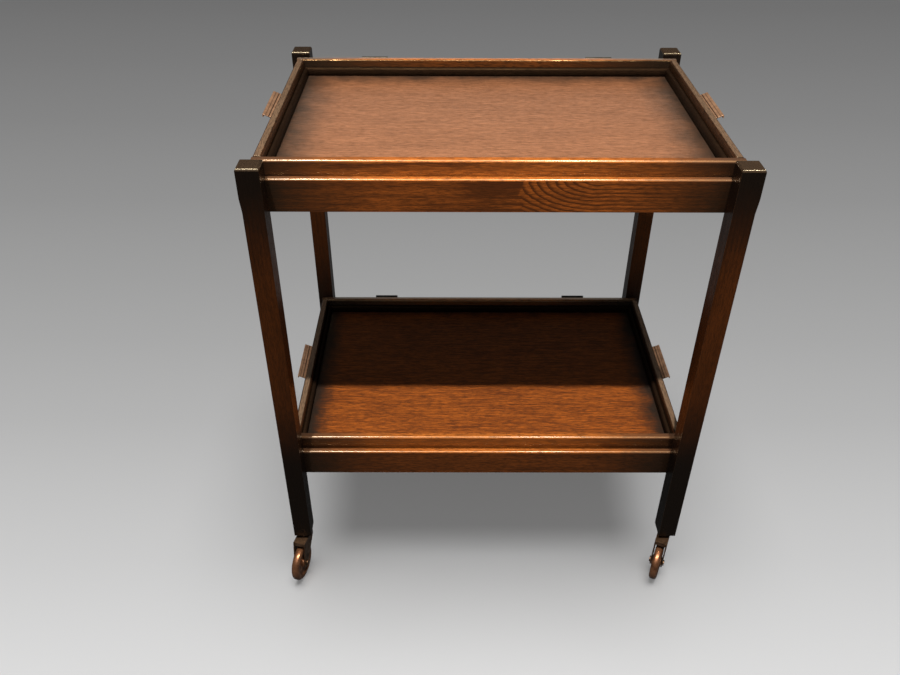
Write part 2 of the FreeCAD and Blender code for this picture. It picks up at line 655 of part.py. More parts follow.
def wheel(end, side):
    """A disc wheel with a rounded tread, a dished web and a hub."""
    name = f"{end}_{side}_caster_wheel"
    faces = ("-wheel_width / 2", "wheel_width / 2")
    disc = rod(name + "_disc", "wheel_diameter", "x", faces, "-trail", AXLE_Z)
    tyre = rounded(name + "_tyre", disc, size("tread_round"), lambda edge: len(edge.Vertexes) == 1)
    rings = []
    for face, x in (("left", ("-wheel_width / 2 - overrun", "-wheel_width / 2 + web_recess")),
                    ("right", ("wheel_width / 2 - web_recess", "wheel_width / 2 + overrun"))):
        rings.append(rod(f"{name}_{face}_dish", "web_outer", "x", x, "-trail", AXLE_Z))
    dished = less(name + "_dished", tyre, rings)
    hub = rod(name + "_hub", "hub_diameter", "x", ("-hub_width / 2", "hub_width / 2"), "-trail", AXLE_Z)
    through = ("-hub_width / 2 - overrun", "hub_width / 2 + overrun")
    hole = rod(name + "_hole", "axle_diameter + 2 * running_clearance", "x", through, "-trail", AXLE_Z)
    return under_leg(less(name + "_shape", fused(name + "_whole", [dished, hub]), [hole]), end, side)


def axle(end, side):
    name = f"{end}_{side}_caster_axle"
    tip = f"({CHEEK_OUT} + rest_clearance)"
    pieces = [rod(name + "_bar", "axle_diameter", "x", (f"-{tip}", tip), "-trail", AXLE_Z)]
    for side_word, sign in SIDES.items():
        x = sided(sign, tip, f"{tip} + axle_head_height")
        pieces.append(rod(f"{name}_{side_word}_head", "axle_head", "x", x, "-trail", AXLE_Z))
    return under_leg(fused(name + "_shape", pieces), end, side)


def socket(end, side):
    """A sleeve in the leg with a flange under the foot, which the stem turns in."""
    name = f"{end}_{side}_socket"
    x, y = at(SIDES[side], LEG_MIDDLE), at(ENDS[end], LEG_CENTRE)
    sleeve = rod(name + "_sleeve", SOCKET_OUTER, "z", x, y, (FLANGE_LOW, SOCKET_TOP))
    flange = rod(name + "_flange", "collar_diameter", "z", x, y, (FLANGE_LOW, FOOT))
    bore = (f"{FLANGE_LOW} - overrun", f"{STEM_TOP} + rest_clearance")
    hole = rod(name + "_bore", SOCKET_INNER, "z", x, y, bore)
    return less(name + "_shape", fused(name + "_whole", [sleeve, flange]), [hole])


# The sub-parts
for end in ENDS:
    for side in SIDES:
        node(f"{end}_{side}_leg", [leg(end, side)])
        node(f"{end}_{side}_caster_fork", [fork(end, side)])
        node(f"{end}_{side}_caster_wheel", [wheel(end, side)])
        node(f"{end}_{side}_caster_axle", [axle(end, side)])
    screws = []
    for tier in TIERS:
        node(f"{end}_{tier}_rail", [long_rail(tier, end)])
        screws += rail_screws(tier, end, "0")
    corners = [(tier, side) for tier in TIERS for side in SIDES]
    node(f"{end}_rail_screws", screws)
    node(f"{end}_stay_brackets", [stay_bracket(tier, side, end) for tier, side in corners])
    node(f"{end}_stay_pins", [frame_pin(tier, side, end) for tier, side in corners])
    node(f"{end}_caster_sockets", [socket(end, side) for side in SIDES])
    for tier, side in corners:
        node(f"{tier}_{side}_{end}_stay", [stay(tier, side, end)])
for tier in TIERS:
    tray(tier)
    node(f"{tier}_tray_hinge_leaves", [hinge_leaf(tier, side) for side in SIDES])
    for side in SIDES:
        x = at(SIDES[side], PIN_X)
        name = f"{tier}_{side}_middle_pin"
        low, high = LOWER_STAY[tier][0], UPPER_STAY[tier][1]
        node(name, [rivet(name + "_shape", x, "0", low, high, TONGUE[tier])])
node("tray_hinge_feet", [hinge_foot(tier, side) for tier in TIERS for side in SIDES])
node("tray_hinge_pins", [hinge_pin(tier, side) for tier in TIERS for side in SIDES])
node("front_tray_ledges", [ledge(tier) for tier in TIERS])

doc.recompute()
for thing in doc.Objects:
    if "Invalid" in thing.State or "Error" in thing.State:
        raise RuntimeError(f"{thing.Name} did not build: {thing.State}")
for label, thing in nodes.items():
    if thing.Shape.isNull() or not thing.Shape.isValid() or not thing.Shape.Solids:
        raise RuntimeError(f"{label} has no valid shape")

os.makedirs("parts", exist_ok=True)
for label, thing in nodes.items():
    thing.Shape.exportStep(f"parts/{label}.step")
print(len(nodes), "sub-parts,", sum(len(thing.Shape.Solids) for thing in nodes.values()), "solids")
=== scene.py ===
# %% [markdown]
# # A folding tea trolley in dark oak
#
# The trolley has two trays between two ladder-shaped frames and stands on four casters. Its
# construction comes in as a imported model, in metres: every board, stay, hinge and wheel is already
# where it belongs and already moves. This script gives those pieces their looks. We could model
# everything afresh, but a copy of each piece keeps its exact size and place. So we copy a board,
# soften its edges and stain it, finish the metal fittings in the same way, and light the result.

# %% Load the construction
import json
import math

import bmesh
import bpy
from mathutils import Matrix, Vector

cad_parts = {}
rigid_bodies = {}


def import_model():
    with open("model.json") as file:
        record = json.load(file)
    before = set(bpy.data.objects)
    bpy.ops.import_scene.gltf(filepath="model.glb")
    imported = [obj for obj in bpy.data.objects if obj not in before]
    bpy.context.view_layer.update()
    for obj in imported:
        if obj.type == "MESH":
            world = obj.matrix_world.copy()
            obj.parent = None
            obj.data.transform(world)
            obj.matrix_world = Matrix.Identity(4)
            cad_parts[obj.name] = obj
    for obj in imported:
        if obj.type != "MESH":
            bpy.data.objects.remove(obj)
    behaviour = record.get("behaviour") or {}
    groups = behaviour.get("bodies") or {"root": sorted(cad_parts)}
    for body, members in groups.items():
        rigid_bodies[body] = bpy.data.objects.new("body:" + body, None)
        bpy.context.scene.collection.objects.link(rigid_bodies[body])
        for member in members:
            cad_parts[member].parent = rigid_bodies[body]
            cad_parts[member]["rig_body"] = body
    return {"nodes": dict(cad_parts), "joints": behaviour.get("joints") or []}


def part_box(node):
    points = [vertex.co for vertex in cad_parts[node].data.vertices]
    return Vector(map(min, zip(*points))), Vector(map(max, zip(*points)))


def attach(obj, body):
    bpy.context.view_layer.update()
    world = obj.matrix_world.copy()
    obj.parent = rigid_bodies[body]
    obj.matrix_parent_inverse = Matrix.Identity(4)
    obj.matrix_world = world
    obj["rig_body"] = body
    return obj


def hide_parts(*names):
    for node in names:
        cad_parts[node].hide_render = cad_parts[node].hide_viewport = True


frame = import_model()
nodes = frame["nodes"]
joints = {joint["name"]: joint for joint in frame["joints"]}
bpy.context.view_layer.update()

MM = 0.001

# %% [markdown]
# ## The camera
#
# The photograph was taken from above the front, a little left of the middle. A camera could be turned
# by hand until the picture fits. Here its place and lens were worked out from the corners of the legs,
# rails and trays, because that fit also gives the proportions of the trolley. The lens is given in
# pixels of a picture 900 pixels wide, which converts to millimetres on a 36 mm sensor.

# %% Camera
LENS_IN_PIXELS = 822.287
PICTURE_WIDTH = 900
CAMERA_PLACE = Vector((-64.7, -1162.8, 1175.7)) * MM
CAMERA_PAN, CAMERA_TILT, CAMERA_ROLL = -0.004459, -0.633132, -0.004395

camera_data = bpy.data.cameras.new("photo_camera")
camera_data.sensor_width = 36
camera_data.lens = LENS_IN_PIXELS * camera_data.sensor_width / PICTURE_WIDTH
camera = bpy.data.objects.new("photo_camera", camera_data)
aim = (Matrix.Rotation(CAMERA_PAN, 4, "Z") @ Matrix.Rotation(CAMERA_TILT, 4, "X")
       @ Matrix.Rotation(CAMERA_ROLL, 4, "Y"))
level = Matrix.Rotation(math.radians(90), 4, "X")
camera.matrix_world = Matrix.Translation(CAMERA_PLACE) @ aim @ level
bpy.context.scene.collection.objects.link(camera)
bpy.context.scene.camera = camera
print("camera lens", round(camera_data.lens, 2), "mm")

# %% [markdown]
# ## Shader building blocks
#
# Several finishes share the same effects: the figure of the oak, the dark stain that was sprayed
# towards the edges, and the patina of old metal. They could be painted as pictures, but a picture
# stretches on a long board and blurs close up. So each effect is a node group with named inputs, built
# once and worked out at every point. The groups give out masks only; the shaders stay in the
# materials. `wire` adds one node and fills its sockets, either with a value or with a link.

# %% Node helpers
def fill(tree, socket, value):
    """Link a socket if the value is the output of a node, and set it otherwise."""
    if isinstance(value, bpy.types.NodeSocket):
        tree.links.new(value, socket)
    else:
        socket.default_value = value


def wire(tree, kind, sockets=None, **settings):
    """Add a node with these settings, and fill its sockets by name or number."""
    node = tree.nodes.new(kind)
    for setting, value in settings.items():
        setattr(node, setting, value)
    for key, value in (sockets or {}).items():
        fill(tree, node.inputs[key], value)
    return node


def calculate(tree, operation, *values, clamp=False):
    """Work out one number from others."""
    node = wire(tree, "ShaderNodeMath", dict(enumerate(values)), operation=operation, use_clamp=clamp)
    return node.outputs[0]


def blend(tree, share, first, second):
    """Mix two colours by a share from 0 to 1."""
    node = wire(tree, "ShaderNodeMix", data_type="RGBA")
    inputs = {socket.identifier: socket for socket in node.inputs}
    for identifier, value in (("Factor_Float", share), ("A_Color", first), ("B_Color", second)):
        fill(tree, inputs[identifier], value)
    return next(socket for socket in node.outputs if socket.identifier == "Result_Color")


def ramp(tree, value, low, high):
    """Rise smoothly from 0 at low to 1 at high, or fall if low is the larger."""
    sockets = {"Value": value, "From Min": low, "From Max": high}
    return wire(tree, "ShaderNodeMapRange", sockets, interpolation_type="SMOOTHSTEP").outputs["Result"]


def effect(name, inputs, outputs):
    """Start a node group, and return it with what it is given and what it gives out.

    An input without a value is a vector, and all others are numbers.
    """
    tree = bpy.data.node_groups.new(name, "ShaderNodeTree")
    for socket, value in inputs.items():
        kind = "NodeSocketVector" if value is None else "NodeSocketFloat"
        made = tree.interface.new_socket(socket, in_out="INPUT", socket_type=kind)
        if value is not None:
            made.default_value = value
    for socket in outputs:
        tree.interface.new_socket(socket, in_out="OUTPUT", socket_type="NodeSocketFloat")
    return tree, wire(tree, "NodeGroupInput").outputs, wire(tree, "NodeGroupOutput").inputs


# %% [markdown]
# Growth rings run round the heart of the tree, and the face of a board cuts through them. Where the
# heart runs along the board they show as straight lines. Where it dives through the face they make a
# flame of arcs, as on the right of the upper front rail, with a dark tongue before it. Drawn arcs would
# fit only one board, so the rings are worked out about a heart that can be moved and tilted. The
# stretches below are metres along the board, counted from the heart.

# %% Growth rings
RING_STRETCH = 0.12
PLAIN_RINGS = 0.25
FLAME_BEGINS, FLAME_FADES = (-0.03, 0.01), (0.24, 0.08)
TONGUE_BEGINS, TONGUE_ENDS, TONGUE_SIDES = (-0.11, -0.02), (0.004, 0.001), (0.030, 0.020)
TONGUE_SLANT, TONGUE_SHARE = 0.3, 0.6
SHADE_BEFORE, SHADE_SHARE = (0.01, -0.04), 0.3
SMALLEST_FLAME = 0.001


def ring_lines(tree, given):
    """Dark lines where the rings meet the face, with the flame and the tongue before it."""
    along, across, into = wire(tree, "ShaderNodeSeparateXYZ", {"Vector": given["Heart"]}).outputs
    past_heart = calculate(tree, "MAXIMUM", along, 0.0)
    dive = calculate(tree, "MULTIPLY", past_heart, given["Flame Slope"])
    flame = calculate(tree, "SUBTRACT", given["Flame Depth"], dive)
    flame = calculate(tree, "MAXIMUM", flame, 0.0)
    cut = wire(tree, "ShaderNodeCombineXYZ", {
        "X": calculate(tree, "MULTIPLY", along, RING_STRETCH), "Y": across,
        "Z": calculate(tree, "ADD", into, flame)})
    rings = wire(tree, "ShaderNodeTexWave", {
        "Vector": cut.outputs[0], "Scale": given["Ring Scale"], "Distortion": 2.2,
        "Detail": 3.0, "Detail Scale": 1.4, "Detail Roughness": 0.6},
        wave_type="RINGS", rings_direction="X", wave_profile="SAW")
    strength = calculate(tree, "MULTIPLY", ramp(tree, along, *FLAME_BEGINS), ramp(tree, along, *FLAME_FADES))
    strength = calculate(tree, "MULTIPLY_ADD", strength, 1 - PLAIN_RINGS, PLAIN_RINGS)
    off_middle = calculate(tree, "ABSOLUTE", across)
    tip = calculate(tree, "MULTIPLY_ADD", off_middle, TONGUE_SLANT, along)
    tongue = calculate(tree, "MULTIPLY", ramp(tree, tip, *TONGUE_BEGINS), ramp(tree, tip, *TONGUE_ENDS))
    tongue = calculate(tree, "MULTIPLY", tongue, ramp(tree, off_middle, *TONGUE_SIDES))
    tongue = calculate(tree, "MULTIPLY", tongue, TONGUE_SHARE)
    before = calculate(tree, "MULTIPLY_ADD", ramp(tree, along, *SHADE_BEFORE), SHADE_SHARE, tongue)
    flamed = calculate(tree, "GREATER_THAN", given["Flame Depth"], SMALLEST_FLAME)
    before = calculate(tree, "MULTIPLY", before, flamed)
    dark = ramp(tree, rings.outputs["Fac"], 0.35, 1.0)
    return calculate(tree, "MULTIPLY_ADD", dark, strength, before)


# %% [markdown]
# Besides its rings, oak has open pores that make short dark dashes along the grain, finer streaks
# between them, and large soft patches that take up more or less stain. All three are the same noise,
# stretched along the grain by different amounts. Three attributes of a board carry the figure: `grain`
# is a place along, across and into the board from its middle, `heart` is the same place from the heart
# of the tree, and `board` is a number that makes every board differ.

# %% The figure of the oak
BOARD_STEP = 1.37
GRAIN_NOISES = (("Pores", (95, 760, 760), 2.0, 0.6, (0.47, 0.6)),
                ("Streaks", (30, 520, 520), 4.0, 0.75, (0.38, 0.62)),
                ("Patches", (5, 22, 22), 4.0, 0.6, (0.3, 0.7)))


def make_oak_figure():
    tree, given, result = effect(
        "oak_figure", {"Grain": None, "Heart": None, "Board": 0.0, "Ring Scale": 45.0, "Flame Depth": 0.0,
                       "Flame Slope": 0.5}, ["Rings", "Pores", "Streaks", "Patches"])
    fill(tree, result["Rings"], ring_lines(tree, given))
    apart = calculate(tree, "MULTIPLY", given["Board"], BOARD_STEP)
    shift = wire(tree, "ShaderNodeCombineXYZ", {"X": apart, "Y": apart})
    own_place = wire(tree, "ShaderNodeVectorMath", {0: given["Grain"], 1: shift.outputs[0]})
    for mask, stretch, detail, roughness, limits in GRAIN_NOISES:
        place = wire(tree, "ShaderNodeMapping", {"Vector": own_place.outputs[0], "Scale": stretch})
        noise = wire(tree, "ShaderNodeTexNoise", {
            "Vector": place.outputs[0], "Scale": 1.0, "Detail": detail, "Roughness": roughness})
        fill(tree, result[mask], ramp(tree, noise.outputs[0], *limits))
    return tree


oak_figure = make_oak_figure()
print("group", oak_figure.name, len(oak_figure.nodes), "nodes")

# %% [markdown]
# The maker shaded the stain: the middle of each panel and rail is clear brown, and it goes almost
# black towards the ends and corners. A plain gradient would look printed. The mask rises from 0 in the
# middle to 1 at the edge, over a given fade, and a little noise makes its border wander, as a spray gun
# leaves it.

# %% Shaded stain
STAIN_WANDER = 0.07


def make_shaded_stain():
    tree, given, result = effect(
        "shaded_stain", {"Grain": None, "Board": 0.0, "Middle": 0.0, "Half Length": 0.3, "Length Fade": 0.1,
                         "Half Width": 5.0, "Width Fade": 0.1}, ["Mask"])
    place = wire(tree, "ShaderNodeSeparateXYZ", {"Vector": given["Grain"]}).outputs
    noise = wire(tree, "ShaderNodeTexNoise", {
        "Vector": given["Grain"], "W": given["Board"], "Scale": 22.0, "Detail": 7.0, "Roughness": 0.7},
        noise_dimensions="4D")
    wander = calculate(tree, "MULTIPLY_ADD", noise.outputs[0], STAIN_WANDER, -STAIN_WANDER / 2)
    along = calculate(tree, "SUBTRACT", place["X"], given["Middle"])
    masks = []
    for offset, half, fade in ((along, given["Half Length"], given["Length Fade"]),
                               (place["Y"], given["Half Width"], given["Width Fade"])):
        distance = calculate(tree, "ADD", calculate(tree, "ABSOLUTE", offset), wander)
        masks.append(ramp(tree, distance, calculate(tree, "SUBTRACT", half, fade), half))
    fill(tree, result["Mask"], calculate(tree, "MAXIMUM", *masks))
    return tree


shaded_stain = make_shaded_stain()
print("group", shaded_stain.name, len(shaded_stain.nodes), "nodes")

# %% [markdown]
# Old metal is cloudy with tarnish and finely scuffed. Both are noises on the object's own coordinates,
# the scuffs at a much smaller scale, because the fittings are too small for their direction to matter.
# On the handles, dirt has also settled in the two grooves along each lip. That mask follows the
# distance from the end of the tray, so that it stays in the grooves, which are pressed further below.

# %% Old metal and the dirt in the grooves
LIP_LINES = (4.6 * MM, 8.8 * MM)
DIRT_EDGE, DIRT_CORE = 1.0 * MM, 0.3 * MM
RIM_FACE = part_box("upper_tray_front_rim")[1].x


def make_old_metal():
    tree, given, result = effect("old_metal", {"Scale": 60.0}, ["Tarnish", "Scuffs"])
    here = wire(tree, "ShaderNodeTexCoord").outputs["Object"]
    cloud = wire(tree, "ShaderNodeTexNoise", {
        "Vector": here, "Scale": given["Scale"], "Detail": 6.0, "Roughness": 0.65})
    fine_scale = calculate(tree, "MULTIPLY", given["Scale"], 9.0)
    fine = wire(tree, "ShaderNodeTexNoise", {"Vector": here, "Scale": fine_scale, "Detail": 2.0})
    fill(tree, result["Tarnish"], ramp(tree, cloud.outputs[0], 0.38, 0.66))
    fill(tree, result["Scuffs"], ramp(tree, fine.outputs[0], 0.45, 0.75))
    return tree


def make_lip_grooves():
    tree, given, result = effect("lip_grooves", {"Rim Face": 0.3}, ["Grooves"])
    here = wire(tree, "ShaderNodeTexCoord").outputs["Object"]
    across_rim = wire(tree, "ShaderNodeSeparateXYZ", {"Vector": here}).outputs["X"]
    reach = calculate(tree, "SUBTRACT", calculate(tree, "ABSOLUTE", across_rim), given["Rim Face"])
    lines = []
    for line in LIP_LINES:
        off_line = calculate(tree, "ABSOLUTE", calculate(tree, "SUBTRACT", reach, line))
        lines.append(ramp(tree, off_line, DIRT_EDGE, DIRT_CORE))
    inner, outer = lines
    fill(tree, result["Grooves"], calculate(tree, "MULTIPLY_ADD", outer, 0.5, inner))
    return tree


old_metal = make_old_metal()
lip_grooves = make_lip_grooves()
print("groups", old_metal.name, "and", lip_grooves.name)

# %% [markdown]
# ## Finishes
#
# All the oak was stained and polished in the same way, so one function makes every oak finish from
# four colours: two for the figure, one for the pores and one for the shaded stain. The pores are also
# slightly sunk and duller than the polish. `polish` and `tint` set the shine of the stain, and `coat`
# adds a clear layer where the polish is thickest.

# %% One oak for all boards
SHELLAC = (1.0, 0.62, 0.32, 1)
CLEAR = (1.0, 0.93, 0.76, 1)
PORE_DEPTH = 0.2 * MM
PORE_DULLNESS = 0.1


def place_group(tree, group, **values):
    """Place a group in a material, and return its masks."""
    node = wire(tree, "ShaderNodeGroup", node_tree=group)
    for name, value in values.items():
        fill(tree, node.inputs[name.replace("_", " ")], value)
    return node.outputs


def new_finish(name):
    material = bpy.data.materials.new(name)
    material.use_nodes = True
    return material, material.node_tree, material.node_tree.nodes["Principled BSDF"]


def oak(name, colours, shading, flame=0.0, ring_scale=60.0, ring_share=0.35, pore_share=0.8,
        streak_share=0.4, patch_share=0.35, gloss=(0.24, 0.42), polish=0.5, tint=SHELLAC, coat=0.0, pits=0.3):
    """Stained oak, from the colours of its pale and deep figure, its pores and its shaded edge."""
    pale, deep, pore, stain = [(*colour, 1) for colour in colours]
    material, tree, shader = new_finish(name)
    grain = wire(tree, "ShaderNodeAttribute", attribute_name="grain").outputs["Vector"]
    heart = wire(tree, "ShaderNodeAttribute", attribute_name="heart").outputs["Vector"]
    number = wire(tree, "ShaderNodeAttribute", attribute_name="board").outputs["Fac"]
    figure = place_group(tree, oak_figure, Grain=grain, Heart=heart, Board=number, Ring_Scale=ring_scale,
                         Flame_Depth=flame)
    patches = calculate(tree, "MULTIPLY", figure["Patches"], patch_share)
    depth = calculate(tree, "MULTIPLY_ADD", figure["Rings"], ring_share, patches)
    depth = calculate(tree, "MULTIPLY_ADD", figure["Streaks"], streak_share, depth, clamp=True)
    colour = blend(tree, depth, pale, deep)
    colour = blend(tree, calculate(tree, "MULTIPLY", figure["Pores"], pore_share), colour, pore)
    mask = place_group(tree, shaded_stain, Grain=grain, Board=number, **shading)["Mask"]
    fill(tree, shader.inputs["Base Color"], blend(tree, mask, colour, stain))
    dull = calculate(tree, "MULTIPLY_ADD", figure["Streaks"], gloss[1] - gloss[0], gloss[0])
    dull = calculate(tree, "MULTIPLY_ADD", figure["Pores"], PORE_DULLNESS, dull)
    fill(tree, shader.inputs["Roughness"], dull)
    sunk = calculate(tree, "MULTIPLY", figure["Pores"], -1.0)
    bump = wire(tree, "ShaderNodeBump", {"Height": sunk, "Strength": pits, "Distance": PORE_DEPTH})
    fill(tree, shader.inputs["Normal"], bump.outputs[0])
    shader.inputs["Specular IOR Level"].default_value = polish
    shader.inputs["Specular Tint"].default_value = tint
    shader.inputs["Coat Weight"].default_value = coat
    shader.inputs["Coat Roughness"].default_value = 0.2
    return material


# %% [markdown]
# The two tray floors are wide panels. The lower one is a warm clear brown. The upper one looks paler and
# greyer, as its polish reflects the pale room. Two sets of colours and shadings paint that sheen into the
# upper floor, more plainly than a layer of haze would: its colours are a painted reflection.

# %% Floors of the trays
UPPER_SHADING = {"Half_Length": 0.305, "Length_Fade": 0.085, "Half_Width": 0.198, "Width_Fade": 0.06}
LOWER_SHADING = {"Half_Length": 0.293, "Length_Fade": 0.045, "Half_Width": 0.198, "Width_Fade": 0.035}
# The upper floor's paler, greyer colours are a painted sheen: the reflection of the pale room in its polish.
upper_floor_with_sheen = oak(
    "upper_floor_with_sheen",
    ((0.27, 0.123, 0.067), (0.12, 0.053, 0.029), (0.045, 0.018, 0.011), (0.020, 0.014, 0.012)),
    UPPER_SHADING, ring_share=0.1, pore_share=0.4, streak_share=0.6, patch_share=0.15, gloss=(0.36, 0.42),
    tint=CLEAR)
lower_floor = oak(
    "lower_floor",
    ((0.30, 0.086, 0.015), (0.082, 0.020, 0.005), (0.040, 0.010, 0.003), (0.014, 0.009, 0.008)),
    LOWER_SHADING, ring_share=0.1, pore_share=0.6, streak_share=0.85, patch_share=0.15, gloss=(0.34, 0.42),
    tint=CLEAR)
print("finishes", upper_floor_with_sheen.name, "and", lower_floor.name)

# %% [markdown]
# Rims and rails are narrow boards that darken towards their ends, the back and end rims more than the
# front ones. The legs and the strip round each floor are almost black. Their colours were set against the
# photograph, each under the same lights.

# %% Rims, rails, legs and strips
BOARD_SHADING = {"Half_Length": 0.315, "Length_Fade": 0.2}
BACK_RIM_SHADING = {"Half_Length": 0.29, "Length_Fade": 0.24}
LEG_SHADING = {"Middle": 0.07, "Half_Length": 0.25, "Length_Fade": 0.18}
NO_SHADING = {"Half_Length": 5.0, "Length_Fade": 0.1}
oak_rim = oak(
    "oak_rim", ((0.30, 0.092, 0.018), (0.085, 0.025, 0.007), (0.026, 0.009, 0.004), (0.012, 0.007, 0.005)),
    BOARD_SHADING, ring_scale=40.0, ring_share=0.8, pore_share=0.45, streak_share=0.6, gloss=(0.15, 0.3),
    polish=0.6)
oak_back_rim = oak(
    "oak_back_rim",
    ((0.095, 0.030, 0.008), (0.030, 0.010, 0.004), (0.015, 0.006, 0.003), (0.012, 0.008, 0.006)),
    BACK_RIM_SHADING, gloss=(0.15, 0.3))
oak_end_rim = oak(
    "oak_end_rim",
    ((0.05, 0.022, 0.011), (0.016, 0.009, 0.006), (0.008, 0.005, 0.004), (0.010, 0.006, 0.005)),
    NO_SHADING, gloss=(0.2, 0.36), polish=0.45)
# Painted shade: a darker copy of the flamed rail's colours, for every rail but the upper front one.
oak_rail_with_shade = oak(
    "oak_rail_with_shade", ((0.16, 0.046, 0.010), (0.036, 0.011, 0.004), (0.020, 0.007, 0.003), (0.007, 0.005, 0.004)),
    BOARD_SHADING, pore_share=0.6, gloss=(0.15, 0.3))
flamed_rail = oak(
    "flamed_rail",
    ((0.25, 0.070, 0.013), (0.055, 0.016, 0.005), (0.028, 0.009, 0.003), (0.007, 0.005, 0.004)),
    BOARD_SHADING, flame=0.052, ring_scale=57.0, ring_share=0.9, pore_share=0.5, gloss=(0.15, 0.3),
    polish=0.6)
oak_leg = oak(
    "oak_leg", ((0.060, 0.018, 0.005), (0.014, 0.005, 0.002), (0.008, 0.003, 0.002), (0.004, 0.003, 0.003)),
    LEG_SHADING, ring_share=0.25, pore_share=0.4, streak_share=0.3, gloss=(0.2, 0.36), polish=0.25)
oak_strip = oak(
    "oak_strip",
    ((0.016, 0.009, 0.006), (0.006, 0.004, 0.003), (0.003, 0.002, 0.002), (0.004, 0.003, 0.003)),
    NO_SHADING, gloss=(0.4, 0.5), polish=0.15)
print("oak finishes:", len(bpy.data.materials))

# %% [markdown]
# Hands and cloths rub the corners of a board first, and there the stain is thin. The faces that look
# upwards also catch the ceiling lamps, and these finishes paint that light in as well: the tops of the front
# rims and rails are a bright brown under a thick clear coat, wear and a painted highlight together; the
# tops of the end rims are bare and greyish, wear with a painted highlight on it; and the tops of the legs
# have a dull shine, a painted sheen. Wear could be found by a node that senses edges, but the softened
# edges are faces of their own, so they simply get finishes of their own.

# %% Worn edges
# Wear and a painted highlight: the bright brown tops of the front and back rims and of the rails.
wear_and_highlight_oak = oak(
    "wear_and_highlight_oak", ((0.46, 0.145, 0.026), (0.26, 0.075, 0.013), (0.10, 0.028, 0.006), (0.06, 0.033, 0.022)),
    BOARD_SHADING, gloss=(0.36, 0.46), polish=1.0, coat=1.0, pits=0.1)
# A painted sheen: the greyish brown tops of the leg heads.
head_top_with_sheen = oak(
    "head_top_with_sheen", ((0.036, 0.024, 0.016), (0.020, 0.013, 0.009), (0.012, 0.008, 0.006), (0.02, 0.012, 0.008)),
    NO_SHADING, gloss=(0.2, 0.28), polish=0.6, tint=CLEAR, pits=0.1)
rubbed_oak = oak(
    "rubbed_oak", ((0.065, 0.027, 0.012), (0.022, 0.010, 0.006), (0.012, 0.006, 0.004), (0.05, 0.024, 0.013)),
    NO_SHADING, gloss=(0.2, 0.34), polish=1.0, tint=CLEAR, pits=0.1)
# Wear and a painted highlight: the greyish tops of the end rims.
bare_top_with_highlight = oak(
    "bare_top_with_highlight", ((0.15, 0.10, 0.070), (0.075, 0.048, 0.034), (0.04, 0.025, 0.018), (0.05, 0.024, 0.013)),
    NO_SHADING, gloss=(0.36, 0.46), polish=1.0, tint=CLEAR, pits=0.1)
print("with worn edges:", len(bpy.data.materials))

# %% [markdown]
# The fittings are old: bronzed sheet for the handles and casters, plain steel for the hidden folding
# gear, and dull nickel plate on the hinges. One function mixes a clean colour with a tarnished one by
# the patina mask, and lets scuffs change the gloss. The wheels shine like brown metal, so they use it
# too.

# %% Metal and wheel finishes
GROOVE_DIRT = (0.045, 0.024, 0.016, 1)
GROOVE_SINK = -3.0
SCUFF_DULLNESS, SCUFF_DEPTH = 0.12, 0.1 * MM


def aged(name, clean, tarnished, scale, gloss, metallic, rim_face=None):
    """Old metal; with a rim face, dirt lies in the grooves of the lip that stands out from it."""
    material, tree, shader = new_finish(name)
    age = place_group(tree, old_metal, Scale=scale)
    colour = blend(tree, age["Tarnish"], (*clean, 1), (*tarnished, 1))
    height = age["Scuffs"]
    if rim_face is not None:
        grooves = place_group(tree, lip_grooves, Rim_Face=rim_face)["Grooves"]
        colour = blend(tree, grooves, colour, GROOVE_DIRT)
        height = calculate(tree, "MULTIPLY_ADD", grooves, GROOVE_SINK, height)
    fill(tree, shader.inputs["Base Color"], colour)
    dull = calculate(tree, "MULTIPLY_ADD", age["Tarnish"], gloss[1] - gloss[0], gloss[0])
    dull = calculate(tree, "MULTIPLY_ADD", age["Scuffs"], SCUFF_DULLNESS, dull)
    fill(tree, shader.inputs["Roughness"], dull)
    bump = wire(tree, "ShaderNodeBump", {"Height": height, "Strength": 0.12, "Distance": SCUFF_DEPTH})
    fill(tree, shader.inputs["Normal"], bump.outputs[0])
    shader.inputs["Metallic"].default_value = metallic
    return material


bronze = aged("bronze", (0.42, 0.26, 0.18), (0.24, 0.145, 0.10), 70.0, (0.34, 0.5), 0.55, RIM_FACE)
bronzed_fork = aged("bronzed_fork", (0.24, 0.15, 0.10), (0.07, 0.042, 0.028), 90.0, (0.3, 0.48), 0.9)
wheel_finish = aged("wheel_finish", (0.36, 0.175, 0.10), (0.13, 0.058, 0.033), 80.0, (0.22, 0.4), 0.75)
dull_steel = aged("dull_steel", (0.42, 0.40, 0.37), (0.20, 0.185, 0.17), 80.0, (0.32, 0.5), 1.0)
nickel = aged("nickel", (0.07, 0.068, 0.064), (0.04, 0.039, 0.036), 90.0, (0.5, 0.65), 0.7)
print("with metals:", len(bpy.data.materials), "finishes")

# %% [markdown]
# ## Softened boards
#
# A planed board never has a perfectly sharp edge, and it is the edges that catch the light in the
# photograph. We copy a piece of the construction, merge its loose triangles into whole faces and
# bevel its outer edges by a fraction of a millimetre. A Bevel modifier could do that too, but here the
# new faces get their own finish at once.

# %% Merging and softening
SHARP = math.radians(38)
FLAT = math.radians(0.4)
SAME_POINT = 0.001 * MM
EDGE_STEPS = 3


def merged_copy(node):
    """The shape of a piece, with its triangles merged into whole faces."""
    source = nodes[node].data
    shape = bmesh.new()
    corners = [shape.verts.new(vertex.co) for vertex in source.vertices]
    for face in source.polygons:
        shape.faces.new([corners[i] for i in face.vertices])
    bmesh.ops.remove_doubles(shape, verts=shape.verts, dist=SAME_POINT)
    bmesh.ops.dissolve_limit(shape, angle_limit=FLAT, verts=shape.verts, edges=shape.edges)
    return shape


